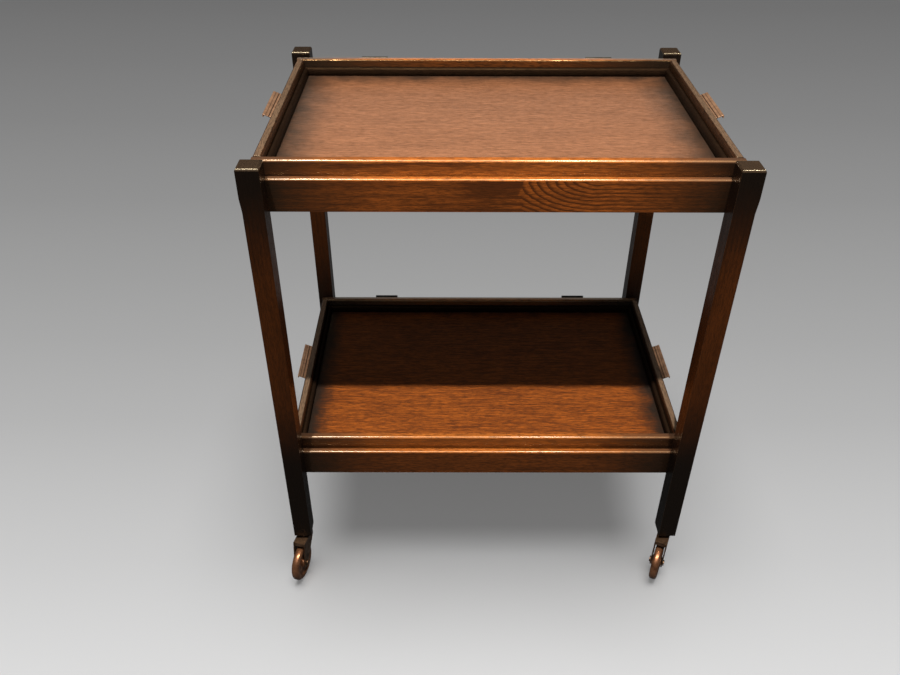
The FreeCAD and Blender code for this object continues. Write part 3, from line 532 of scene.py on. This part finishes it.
def soften(shape, edge, index):
    """Bevel the sharp outer edges, and give the new faces the finish with this index."""
    sharp = [e for e in shape.edges
             if len(e.link_faces) == 2 and e.is_convex and e.calc_face_angle() > SHARP]
    bmesh.ops.bevel(shape, geom=sharp, offset=edge, offset_type="OFFSET", segments=EDGE_STEPS, profile=0.5,
                    affect="EDGES", clamp_overlap=True, material=index)


# %% [markdown]
# A finished piece has up to three finishes: that of its faces, the rubbed one of its edges and one for what
# looks upwards, which paints wear and the highlight of the lamps together. A Weighted Normal modifier keeps
# the large faces looking flat next to the bevels. The result is made a plain mesh, which stands for the
# piece that it was copied from and moves with the same body.

# %% Finished copies
FACE_WEIGHT = 80
RUBBED_INDEX, WEAR_AND_HIGHLIGHT_INDEX = 1, 2


def into_scene(name, shape, finishes):
    """Turn a shape into an object with these finishes."""
    mesh = bpy.data.meshes.new(name)
    shape.to_mesh(mesh)
    shape.free()
    for finish in finishes:
        mesh.materials.append(finish)
    piece = bpy.data.objects.new(name, mesh)
    bpy.context.scene.collection.objects.link(piece)
    return piece


def plain_mesh(piece):
    """Turn an object and its modifiers into a plain mesh, and put that in place of its own."""
    bpy.context.view_layer.update()
    evaluated = piece.evaluated_get(bpy.context.evaluated_depsgraph_get())
    mesh = bpy.data.meshes.new_from_object(evaluated)
    piece.modifiers.clear()
    piece.data = mesh


def stand_for(piece, node):
    """Put a finished piece on the body of the piece that it stands for."""
    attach(piece, nodes[node]["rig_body"])
    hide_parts(node)
    return piece


def softened(node, edge, finish, rubbed=None, wear_and_highlight=None, lowest=0.15, press=None):
    """A copy of a piece with its outer edges softened, in its place and on its body.

    The edges get the rubbed finish, if there is one. The finish of wear and painted highlight goes on the
    faces that look upwards, which are those whose normals rise by more than the lowest value. A press
    changes the shape before its edges are softened.
    """
    shape = merged_copy(node)
    pressed = press(shape) if press else set()
    if edge:
        soften(shape, edge, RUBBED_INDEX if rubbed else -1)
    for face in shape.faces:
        face.smooth = face not in pressed
        # Faces that look upwards get wear and a painted highlight together.
        if wear_and_highlight and face.normal.z > lowest:
            face.material_index = WEAR_AND_HIGHLIGHT_INDEX
    piece = into_scene(node + "_finish", shape, [kind for kind in (finish, rubbed, wear_and_highlight) if kind])
    normals = piece.modifiers.new("flat_faces", "WEIGHTED_NORMAL")
    normals.weight = FACE_WEIGHT
    plain_mesh(piece)
    return stand_for(piece, node)


# %% [markdown]
# The boards differ in how much their edges have worn down: most on the legs, least on the thin tray
# floors, and not at all on the strip round each floor, which sits in a corner. The number beside a finish
# of wear and painted highlight is the least rise of a face that gets it. The order of this list matters,
# because a board's number in it decides its grain.

# %% Boards
TIERS = ("upper", "lower")
ENDS = ("front", "back")
SIDES = ("left", "right")
LEG_EDGE, RAIL_EDGE, RIM_EDGE, STAY_EDGE, LEDGE_EDGE = 1.1 * MM, 0.8 * MM, 0.7 * MM, 0.8 * MM, 0.6 * MM
FLOOR_EDGE, STRIP_EDGE = 0.2 * MM, 0.0
HEAD_RISE = 0.08
TRAY_FLOORS = {"upper": upper_floor_with_sheen, "lower": lower_floor}
# The finishes of the tops paint a highlight as well as wear; the number is the least rise that gets one.
RIM_FINISHES = {"front": (oak_rim, wear_and_highlight_oak, 0.15), "back": (oak_back_rim, wear_and_highlight_oak, 0.8),
                "left": (oak_end_rim, bare_top_with_highlight, 0.9), "right": (oak_end_rim, bare_top_with_highlight, 0.9)}


def frame_boards(end):
    made = [softened(f"{end}_{side}_leg", LEG_EDGE, oak_leg, rubbed_oak, head_top_with_sheen, HEAD_RISE)
            for side in SIDES]
    for tier in TIERS:
        # Every rail but the upper front one gets the darker colours of painted shade.
        finish = flamed_rail if (end, tier) == ("front", "upper") else oak_rail_with_shade
        made.append(softened(f"{end}_{tier}_rail", RAIL_EDGE, finish, rubbed_oak, wear_and_highlight_oak))
    return made


def tray_boards(tier):
    made = [softened(f"{tier}_tray_{rim}_rim", RIM_EDGE, finish, rubbed_oak, wear_and_highlight, lowest)
            for rim, (finish, wear_and_highlight, lowest) in RIM_FINISHES.items()]
    made.append(softened(f"{tier}_tray_beading", STRIP_EDGE, oak_strip))
    made.append(softened(f"{tier}_tray_base", FLOOR_EDGE, TRAY_FLOORS[tier]))
    for side in SIDES:
        for end in ENDS:
            made.append(softened(f"{tier}_{side}_{end}_stay", STAY_EDGE, oak_leg, rubbed_oak))
    return made


boards = frame_boards("front") + frame_boards("back") + tray_boards("upper") + tray_boards("lower")
boards.append(softened("front_tray_ledges", LEDGE_EDGE, oak_leg))
print(len(boards), "boards,", sum(len(board.data.polygons) for board in boards), "faces")

# %% [markdown]
# Grain runs along the longest side of a board. Each point stores where it lies along, across and into
# its board, counted from the middle and again from the heart of the tree. UV maps would break at every
# corner, but these attributes run through the board, so the grain meets at the edges as in solid wood.
# Every board has its heart in another place. That of the flamed rail is chosen, to put the flame where
# the photograph shows it.

# %% Grain of the boards
FLAME_HEART = Vector((30, 25, 0)) * MM


def heart_of(number):
    """A heart for a board, spread by its number along, across and behind the face."""
    return Vector((0.05 * (number * 53 % 9 - 4), 0.006 * (number * 37 % 11 - 5),
                   0.035 + 0.004 * (number * 23 % 7)))


def give_grain(piece, number, heart):
    """Store where each point lies in its board, for the noises and for the rings."""
    places = [vertex.co for vertex in piece.data.vertices]
    lowest = Vector(min(place[i] for place in places) for i in range(3))
    highest = Vector(max(place[i] for place in places) for i in range(3))
    order = sorted(range(3), key=lambda i: lowest[i] - highest[i])
    middle = (lowest + highest) / 2
    offsets = [Vector((place - middle)[i] for i in order) for place in places]
    for name, origin in (("grain", Vector()), ("heart", heart)):
        stored = piece.data.attributes.new(name, "FLOAT_VECTOR", "POINT")
        for entry, offset in zip(stored.data, offsets):
            entry.vector = offset - origin
    numbers = piece.data.attributes.new("board", "FLOAT", "POINT")
    for entry in numbers.data:
        entry.value = number


for count, board in enumerate(boards, start=1):
    flamed_board = board.name.startswith("front_upper_rail")
    give_grain(board, count, FLAME_HEART if flamed_board else heart_of(count))
print("grain on", count, "boards")

# %% [markdown]
# ## Metal fittings
#
# The handles are bent sheet with two grooves pressed along the top of each lip. A bump in the material
# would vanish from the side, so the lip is cut along each groove, three times, and the middle cut is
# pushed down.

# %% Grooves of the handles
GROOVE_HALF, GROOVE_DEPTH = 0.75 * MM, 0.55 * MM
UPWARDS = 0.5


def press_grooves(shape):
    """Press the grooves into the tops of both lips, and return the sloping faces of the grooves."""
    deepest = []
    for sign in (-1, 1):
        for line in LIP_LINES:
            for offset in (-GROOVE_HALF, GROOVE_HALF, 0):
                place = Vector((sign * (RIM_FACE + line + offset), 0, 0))
                bmesh.ops.bisect_plane(shape, geom=shape.verts[:] + shape.edges[:] + shape.faces[:],
                                       plane_co=place, plane_no=(1, 0, 0))
            deepest += [vertex for vertex in shape.verts if abs(vertex.co.x - place.x) < SAME_POINT
                        and any(face.normal.z > UPWARDS for face in vertex.link_faces)]
    sloping = {face for vertex in deepest for face in vertex.link_faces if face.normal.z > UPWARDS}
    for vertex in deepest:
        vertex.co.z -= GROOVE_DEPTH
    shape.normal_update()
    return sloping


# %% [markdown]
# Forks are pressings, and rivets, hinges and brackets are bent or turned. Their copies have the right
# shape already, so they only get a fine bevel, as the boards did. The handles have their grooves
# pressed first.

# %% Fittings
HANDLE_EDGE, HINGE_EDGE, PIN_EDGE, PLATE_EDGE = 0.45 * MM, 0.2 * MM, 0.4 * MM, 0.3 * MM


def tray_fittings(tier):
    made = [softened(f"{tier}_tray_handles", HANDLE_EDGE, bronze, press=press_grooves),
            softened(f"{tier}_tray_hinge_leaves", HINGE_EDGE, nickel)]
    for side in SIDES:
        made.append(softened(f"{tier}_{side}_middle_pin", PIN_EDGE, dull_steel))
    return made


def frame_fittings(end):
    made = [softened(f"{end}_stay_brackets", PLATE_EDGE, dull_steel),
            softened(f"{end}_stay_pins", PIN_EDGE, dull_steel),
            softened(f"{end}_caster_sockets", PLATE_EDGE, bronzed_fork)]
    for side in SIDES:
        made.append(softened(f"{end}_{side}_caster_fork", PIN_EDGE, bronzed_fork))
        made.append(softened(f"{end}_{side}_caster_axle", PIN_EDGE, bronzed_fork))
    return made


fittings = tray_fittings("upper") + tray_fittings("lower") + frame_fittings("front") + frame_fittings("back")
fittings.append(softened("tray_hinge_feet", HINGE_EDGE, nickel))
fittings.append(softened("tray_hinge_pins", HINGE_EDGE, dull_steel))
print(len(fittings), "fittings")

# %% [markdown]
# ## Wheels
#
# A wheel is a turned shape, so it is drawn as half a section and spun about its axle: a hub, a dished
# web and a tread with rounded shoulders. That gives a rounder tread than softening the copy would. The
# section lists distance along the axle and radius, in millimetres. The joint that lets the wheel roll
# gives the place and direction of the axle.

# %% Wheels
HALF_WHEEL = [(8.0, 3.05), (8.0, 7.6), (7.6, 8.6), (6.6, 9.0), (4.4, 9.3), (4.0, 10.0), (4.0, 21.6),
              (4.5, 22.6), (6.0, 23.1), (6.4, 23.6), (6.5, 24.4), (6.5, 26.5), (6.1, 28.4), (5.0, 30.1),
              (3.4, 31.15), (1.5, 31.5)]
WHEEL_STEPS = 96
WHEEL_SHARP = math.radians(50)


def turned_wheel(corner):
    """A wheel for one corner of the trolley, about the axle of its joint."""
    roll = joints[f"{corner}_roll"]
    section = HALF_WHEEL + [(-along, radius) for along, radius in reversed(HALF_WHEEL)]
    shape = bmesh.new()
    loops = []
    for step in range(WHEEL_STEPS):
        angle = 2 * math.pi * step / WHEEL_STEPS
        loops.append([shape.verts.new(Vector((x, r * math.cos(angle), r * math.sin(angle))) * MM)
                      for x, r in section])
    for one, two in zip(loops, loops[1:] + loops[:1]):
        for i in range(len(section)):
            j = (i + 1) % len(section)
            shape.faces.new((one[i], one[j], two[j], two[i]))
    bmesh.ops.recalc_face_normals(shape, faces=shape.faces)
    for face in shape.faces:
        face.smooth = True
    turn = Vector((1, 0, 0)).rotation_difference(Vector(roll["axis"])).to_matrix().to_4x4()
    shape.transform(Matrix.Translation(Vector(roll["pos_m"])) @ turn)
    node = f"{corner}_caster_wheel"
    piece = into_scene(node + "_finish", shape, [wheel_finish])
    piece.data.set_sharp_from_angle(angle=WHEEL_SHARP)
    return stand_for(piece, node)


wheels = [turned_wheel(f"{end}_{side}") for end in ENDS for side in SIDES]
print(len(wheels), "wheels of", len(wheels[0].data.polygons), "faces")

# %% [markdown]
# ## Screws
#
# Handles, hinges, brackets and rails are screwed on. All the heads are one shape repeated, which is a
# job for Geometry Nodes. A ball of radius 1 is cut flat below, a slot is cut across it, and only then
# is it scaled to the size of a screw, because cutting is unreliable at fractions of a millimetre. The
# head is set on every point of a small mesh. Each point carries the direction that its screw faces,
# and a fixed seed turns each slot by chance.

# %% The screw tree
BLOCK = 4.0
SLOT_BLOCK_HEIGHT = 1.0
LOWER_CUT, SLOT_CUT = -2.03, 1.05


def screw_head(tree, radius, height, slot_width):
    """A slotted head, cut from a ball of radius 1 and then scaled."""
    ball = wire(tree, "GeometryNodeMeshUVSphere", {"Segments": 24, "Rings": 12, "Radius": 1.0})
    cut = wire(tree, "GeometryNodeMeshBoolean", {"Mesh 1": ball.outputs["Mesh"]},
               operation="DIFFERENCE", solver="EXACT")
    slot_share = calculate(tree, "DIVIDE", slot_width, radius)
    slot_size = wire(tree, "ShaderNodeCombineXYZ", {"X": BLOCK, "Y": slot_share, "Z": SLOT_BLOCK_HEIGHT})
    for size, rise in (((BLOCK, BLOCK, BLOCK), LOWER_CUT), (slot_size.outputs[0], SLOT_CUT)):
        block = wire(tree, "GeometryNodeMeshCube", {"Size": size})
        cutter = wire(tree, "GeometryNodeTransform", {
            "Geometry": block.outputs["Mesh"], "Translation": (0, 0, rise)})
        tree.links.new(cutter.outputs[0], cut.inputs["Mesh 2"])
    scale = wire(tree, "ShaderNodeCombineXYZ", {"X": radius, "Y": radius, "Z": height})
    head = wire(tree, "GeometryNodeTransform", {
        "Geometry": cut.outputs["Mesh"], "Scale": scale.outputs[0]})
    return head.outputs[0]


def make_screw_tree():
    tree = bpy.data.node_groups.new("slotted_screws", "GeometryNodeTree")
    for name, kind, value in (
            ("Geometry", "NodeSocketGeometry", None), ("Head Radius", "NodeSocketFloat", 3.0 * MM),
            ("Head Height", "NodeSocketFloat", 1.0 * MM), ("Slot Width", "NodeSocketFloat", 0.6 * MM),
            ("Finish", "NodeSocketMaterial", None), ("Seed", "NodeSocketInt", 7)):
        made = tree.interface.new_socket(name, in_out="INPUT", socket_type=kind)
        if value is not None:
            made.default_value = value
    tree.interface.new_socket("Geometry", in_out="OUTPUT", socket_type="NodeSocketGeometry")
    given = wire(tree, "NodeGroupInput").outputs
    head = screw_head(tree, given["Head Radius"], given["Head Height"], given["Slot Width"])
    facing = wire(tree, "GeometryNodeInputNamedAttribute", {"Name": "facing"}, data_type="FLOAT_VECTOR")
    stand = wire(tree, "FunctionNodeAlignRotationToVector", {"Vector": facing.outputs["Attribute"]},
                 axis="Z")
    chance = wire(tree, "FunctionNodeRandomValue", {3: math.pi, "Seed": given["Seed"]}, data_type="FLOAT")
    spin = wire(tree, "FunctionNodeAxisAngleToRotation", {"Axis": (0, 0, 1), "Angle": chance.outputs[1]})
    turned = wire(tree, "FunctionNodeRotateRotation", {
        "Rotation": stand.outputs[0], "Rotate By": spin.outputs[0]}, rotation_space="LOCAL")
    copies = wire(tree, "GeometryNodeInstanceOnPoints", {
        "Points": given["Geometry"], "Instance": head, "Rotation": turned.outputs[0]})
    real = wire(tree, "GeometryNodeRealizeInstances", {"Geometry": copies.outputs[0]})
    painted = wire(tree, "GeometryNodeSetMaterial", {
        "Geometry": real.outputs[0], "Material": given["Finish"]})
    wire(tree, "NodeGroupOutput", {"Geometry": painted.outputs[0]})
    return tree


screw_tree = make_screw_tree()
print("tree", screw_tree.name, len(screw_tree.nodes), "nodes")

# %% [markdown]
# Every list of places belongs to one body, and its heads become one mesh that rides on that body. A
# size gives the radius and height of a head and the width of its slot.

# %% Screws on a body
def screws(name, body, places, size, finish):
    """Screw heads at (place, facing) pairs, as one plain mesh on a body."""
    points = bpy.data.meshes.new(name)
    points.from_pydata([place for place, facing in places], [], [])
    directions = points.attributes.new("facing", "FLOAT_VECTOR", "POINT")
    for entry, (place, facing) in zip(directions.data, places):
        entry.vector = facing
    piece = bpy.data.objects.new(name, points)
    bpy.context.scene.collection.objects.link(piece)
    modifier = piece.modifiers.new("screws", "NODES")
    modifier.node_group = screw_tree
    values = dict(zip(("Head Radius", "Head Height", "Slot Width"), size), Finish=finish)
    for item in screw_tree.interface.items_tree:
        if item.in_out == "INPUT" and item.name in values:
            modifier[item.identifier] = values[item.name]
    plain_mesh(piece)
    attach(piece, body)
    return piece


# %% [markdown]
# The trays carry the screws of their handles and of their hinge leaves. The places could be typed in,
# but here they come from the boxes of the pieces that the screws hold, so the heads sit on them
# whatever the size.

# %% Screws of the trays
HANDLE_SCREW = (2.6 * MM, 1.1 * MM, 0.6 * MM)
HANDLE_PLATE, HANDLE_SCREW_INSETS, HANDLE_SCREW_RISE = 1.6 * MM, [9 * MM], 6 * MM
LEAF_SCREW = (2.2 * MM, 0.7 * MM, 0.5 * MM)
LEAF_PLATE, LEAF_SCREW_INSETS, LEAF_SCREW_RISE = 1.5 * MM, [8 * MM, 36 * MM], 4.5 * MM


def from_ends(start, stop, insets):
    """Places in from both ends of a stretch, in order along it."""
    return [start + inset for inset in insets] + [stop - inset for inset in reversed(insets)]


def handle_places(tier):
    low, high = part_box(f"{tier}_tray_handles")
    rim_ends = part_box(f"{tier}_tray_front_rim")
    return [(Vector((rim_end.x + sign * HANDLE_PLATE, y, low.z + HANDLE_SCREW_RISE)), Vector((sign, 0, 0)))
            for sign, rim_end in zip((-1, 1), rim_ends)
            for y in from_ends(low.y, high.y, HANDLE_SCREW_INSETS)]


def leaf_places(tier):
    low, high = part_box(f"{tier}_tray_hinge_leaves")
    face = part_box(f"{tier}_tray_back_rim")[1].y + LEAF_PLATE
    return [(Vector((x, face, low.z + LEAF_SCREW_RISE)), Vector((0, 1, 0)))
            for x in from_ends(low.x, high.x, LEAF_SCREW_INSETS)]


made_screws = []
for tier in TIERS:
    made_screws.append(screws(f"{tier}_handle_screws", f"{tier}_tray", handle_places(tier), HANDLE_SCREW,
                              bronze))
    made_screws.append(screws(f"{tier}_hinge_screws", f"{tier}_tray", leaf_places(tier), LEAF_SCREW,
                              nickel))
print(len(made_screws), "sets of screws on the trays")

# %% [markdown]
# The frames carry the screws of the stay brackets and the large ones that hold the rails to the legs.
# All of them face inwards, where the photograph can't see them. The construction has the rail screws
# as countersunk solids without slots. Their shanks are hidden in the wood, so slotted heads stand for
# them.

# %% Screws of the frames
BRACKET_SCREW = (2.2 * MM, 0.8 * MM, 0.5 * MM)
BRACKET_PLATE, BRACKET_SCREW_INSETS = 2 * MM, [6 * MM, 18 * MM]
BRACKET_SCREW_RISE = {"front": 8 * MM, "back": 20 * MM}
RAIL_SCREW = (4 * MM, 0.6 * MM, 0.9 * MM)
RAIL_SCREW_INSETS, RAIL_SCREW_SHARES = [4 * MM], (0.25, 0.75)
INWARDS = {"front": 1, "back": -1}


def bracket_places(end):
    low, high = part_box(f"{end}_stay_brackets")
    outer = low.y if end == "front" else high.y
    face = outer + INWARDS[end] * BRACKET_PLATE
    return [(Vector((x, face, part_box(f"{end}_{tier}_rail")[0].z + BRACKET_SCREW_RISE[end])),
             Vector((0, INWARDS[end], 0)))
            for tier in TIERS for x in from_ends(low.x, high.x, BRACKET_SCREW_INSETS)]


def rail_places(end):
    places = []
    low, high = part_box(f"{end}_rail_screws")
    for tier in TIERS:
        rail_low, rail_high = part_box(f"{end}_{tier}_rail")
        face = rail_high.y if end == "front" else rail_low.y
        for x in from_ends(low.x, high.x, RAIL_SCREW_INSETS):
            for share in RAIL_SCREW_SHARES:
                height = rail_low.z + share * (rail_high.z - rail_low.z)
                places.append((Vector((x, face, height)), Vector((0, INWARDS[end], 0))))
    return places


for end in ENDS:
    made_screws.append(screws(f"{end}_bracket_screws", f"{end}_frame", bracket_places(end), BRACKET_SCREW,
                              dull_steel))
    rail_heads = screws(f"{end}_rail_screw_heads", f"{end}_frame", rail_places(end), RAIL_SCREW,
                        dull_steel)
    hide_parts(f"{end}_rail_screws")
    made_screws.append(rail_heads)
print(len(made_screws), "sets of screws in all")

# %% [markdown]
# ## Floor
#
# The backdrop of the photograph is a plain sweep that grows darker away from the camera. A real sweep
# would need its own lamps, so a flat floor has that fade as its colour, in stops of distance and
# tone. Only the camera sees those tones: to other rays the floor is dim, because a pale one would light
# the dark undersides. From below the floor is clear, so that the folding gear can be looked at.

# %% Floor
FLOOR_HALF = 14.0
FLOOR_NEAR, FLOOR_FAR = -0.6, 3.6
FLOOR_TONES = [(-0.436, 0.69), (-0.225, 0.585), (0.143, 0.445), (0.429, 0.38), (0.70, 0.337),
               (1.17, 0.275), (1.83, 0.223), (2.54, 0.188), (3.46, 0.156)]
DIM_FLOOR = (0.10, 0.10, 0.10, 1)


def make_floor_finish():
    material, tree, shader = new_finish("pale_floor")
    here = wire(tree, "ShaderNodeTexCoord").outputs["Object"]
    distance = wire(tree, "ShaderNodeSeparateXYZ", {"Vector": here}).outputs["Y"]
    share = wire(tree, "ShaderNodeMapRange", {
        "Value": distance, "From Min": FLOOR_NEAR, "From Max": FLOOR_FAR})
    fade = wire(tree, "ShaderNodeValToRGB", {"Fac": share.outputs["Result"]})
    stops = fade.color_ramp.elements
    while len(stops) < len(FLOOR_TONES):
        stops.new(1.0)
    for stop, (y, tone) in zip(stops, FLOOR_TONES):
        stop.position = (y - FLOOR_NEAR) / (FLOOR_FAR - FLOOR_NEAR)
        stop.color = (tone, tone, tone, 1)
    seen = wire(tree, "ShaderNodeLightPath").outputs["Is Camera Ray"]
    fill(tree, shader.inputs["Base Color"], blend(tree, seen, DIM_FLOOR, fade.outputs["Color"]))
    shader.inputs["Roughness"].default_value = 0.9
    shader.inputs["Specular IOR Level"].default_value = 0.0
    below = wire(tree, "ShaderNodeNewGeometry").outputs["Backfacing"]
    clear = wire(tree, "ShaderNodeBsdfTransparent")
    either = wire(tree, "ShaderNodeMixShader", {"Fac": below, 1: shader.outputs[0], 2: clear.outputs[0]})
    fill(tree, tree.nodes["Material Output"].inputs["Surface"], either.outputs[0])
    return material


floor_mesh = bpy.data.meshes.new("floor")
floor_mesh.from_pydata([(-FLOOR_HALF, -FLOOR_HALF, 0), (FLOOR_HALF, -FLOOR_HALF, 0),
                        (FLOOR_HALF, FLOOR_HALF, 0), (-FLOOR_HALF, FLOOR_HALF, 0)], [], [(0, 1, 2, 3)])
floor_mesh.materials.append(make_floor_finish())
floor = bpy.data.objects.new("floor", floor_mesh)
bpy.context.scene.collection.objects.link(floor)
print("floor", 2 * FLOOR_HALF, "m wide")

# %% [markdown]
# ## Lights
#
# The polished rims of the photograph show two white stretches, which read as the reflections of small
# lamps under the ceiling. The places of two lamps follow from those stretches. A straight edge of shade
# crosses the lower tray; the height and distance of the lamps follow from that edge and the underside
# of the upper rail. No one lamp gives all of this, so every lamp lights chosen pieces only: the
# sheltered pieces of the lower tray have a middle lamp, and the right legs an outer one. That is a fit
# to the picture and not a real room.

# %% Ceiling lamps
LAMP_FRONT, LAMP_HEIGHT = -0.85, 2.3
LAMP_SIZE = 0.05
LAMP_LIGHT = (1.0, 0.87, 0.68)


def light_only(light, pieces):
    """Let a light fall on these pieces alone."""
    lit = bpy.data.collections.new("lit_by_" + light.name)
    for piece in pieces:
        lit.objects.link(piece)
    light.light_linking.receiver_collection = lit


def lamp(name, pieces, place, target, power, size, colour, height=None, mirrored=True):
    """An area lamp for these pieces; with a height it is a panel, and unmirrored it has no reflection."""
    data = bpy.data.lights.new(name, "AREA")
    data.energy = power
    data.shape = "RECTANGLE" if height else "DISK"
    data.size = size
    if height:
        data.size_y = height
    data.color = colour
    light = bpy.data.objects.new(name, data)
    turn = (Vector(target) - Vector(place)).to_track_quat("-Z", "Y").to_matrix().to_4x4()
    light.matrix_world = Matrix.Translation(place) @ turn
    light.visible_glossy = mirrored
    bpy.context.scene.collection.objects.link(light)
    light_only(light, pieces)


def named(*pieces):
    """The finished pieces that stand for these pieces of the construction."""
    return [bpy.data.objects[piece + "_finish"] for piece in pieces]


trolley = boards + fittings + wheels + made_screws
sheltered = named("lower_tray_base", "lower_tray_beading", "lower_tray_back_rim", "lower_tray_left_rim",
                  "lower_tray_right_rim")
open_to_lamps = [piece for piece in trolley if piece not in sheltered]
right_legs = named("front_right_leg", "back_right_leg")
for word, x, power, lit_pieces in (("left", -0.50, 42, open_to_lamps), ("right", 0.34, 42, open_to_lamps),
                                   ("middle", 0.12, 84, sheltered), ("outer", 0.95, 20, right_legs)):
    lamp(f"{word}_ceiling_lamp", lit_pieces, (x, LAMP_FRONT, LAMP_HEIGHT), (0, 0, 0.5), power, LAMP_SIZE,
         LAMP_LIGHT)
print("ceiling lamps on", len(open_to_lamps), "open and", len(sheltered), "sheltered pieces")

# %% [markdown]
# Dark polished wood needs soft light from many sides, or its shapes are lost. One large fill lights the
# whole trolley from the front. A wide panel behind it is what the upper tray reflects. Weak fills then
# reach what the ceiling lamps leave in the dark: the lower handles, the ends, the back and the lower
# tray. Those at the ends and behind stay out of reflections, where they would show as white edges.

# %% Fills
lamp("room_fill", trolley, (-0.6, -1.6, 2.2), (0, 0, 0.4), 8, 1.8, (1.0, 0.92, 0.84))
lamp("back_panel", named("upper_tray_base", "upper_tray_back_rim", "lower_tray_back_rim"),
     (0.1, 2.4, 1.42), (0, 0, 0.7), 4, 2.6, (1.0, 0.97, 0.86), height=0.8)
for word, sign in (("left", -1), ("right", 1)):
    lamp(f"{word}_fill", named("lower_tray_handles", f"lower_tray_{word}_rim"),
         (sign * 2.0, -0.5, 1.5), (0, 0, 0.4), 15, 1.0, (1.0, 0.93, 0.84))
    end_pieces = named(
        f"front_{word}_leg", f"back_{word}_leg", f"upper_tray_{word}_rim", f"upper_{word}_front_stay",
        f"upper_{word}_back_stay", f"lower_{word}_front_stay", f"lower_{word}_back_stay")
    lamp(f"{word}_end_lamp", end_pieces, (sign * 2.2, 0.35, 0.8), (0, 0, 0.4), 36, 1.2,
         (1.0, 0.95, 0.88), mirrored=False)
lamp("low_fill", named("back_left_leg", "back_right_leg", "lower_tray_base", "lower_tray_back_rim"),
     (0, -2.0, 0.6), (0, 0.2, 0.35), 7, 1.2, (0.85, 0.92, 1.0))
frame_pieces = [piece for piece in trolley if piece["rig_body"] in ("front_frame", "back_frame")]
rear_pieces = frame_pieces + named("upper_tray_hinge_leaves", "lower_tray_hinge_leaves", "upper_tray_base")
lamp("rear_fill", rear_pieces, (0, 2.6, 0.75), (0, 0, 0.4), 36, 0.7, (1.0, 0.96, 0.9), mirrored=False)
print(len(bpy.data.lights), "lamps on the trolley")

# %% [markdown]
# The floor has two lights of its own from straight above: a wide one that casts the soft shade under
# the trolley, and one without shade that keeps it from going black. The room around is dim, and the
# camera sees plain grey in its place. Colours are shown as they are, without a film curve, because the
# finishes were matched that way.

# %% Light on the floor, and the room
FLOOR_SPREAD = math.radians(38)


def floor_light(name, strength, shade):
    """A light from straight above that falls on the floor alone."""
    data = bpy.data.lights.new(name, "SUN")
    data.energy = strength
    data.angle = FLOOR_SPREAD
    data.use_shadow = shade
    light = bpy.data.objects.new(name, data)
    bpy.context.scene.collection.objects.link(light)
    light_only(light, [floor])


floor_light("floor_sky", 2.1, True)
floor_light("floor_glow", 1.0, False)
world = bpy.data.worlds.new("room")
world.use_nodes = True
room = world.node_tree
dim_room = wire(room, "ShaderNodeBackground", {"Color": (0.45, 0.43, 0.41, 1), "Strength": 0.09})
grey_room = wire(room, "ShaderNodeBackground", {"Color": (0.3, 0.3, 0.3, 1), "Strength": 1.0})
seen_room = wire(room, "ShaderNodeMixShader", {
    "Fac": wire(room, "ShaderNodeLightPath").outputs["Is Camera Ray"],
    1: dim_room.outputs[0], 2: grey_room.outputs[0]})
fill(room, room.nodes["World Output"].inputs["Surface"], seen_room.outputs[0])
bpy.context.scene.world = world
bpy.context.scene.view_settings.view_transform = "Standard"
print(len(bpy.data.lights), "lights in all")
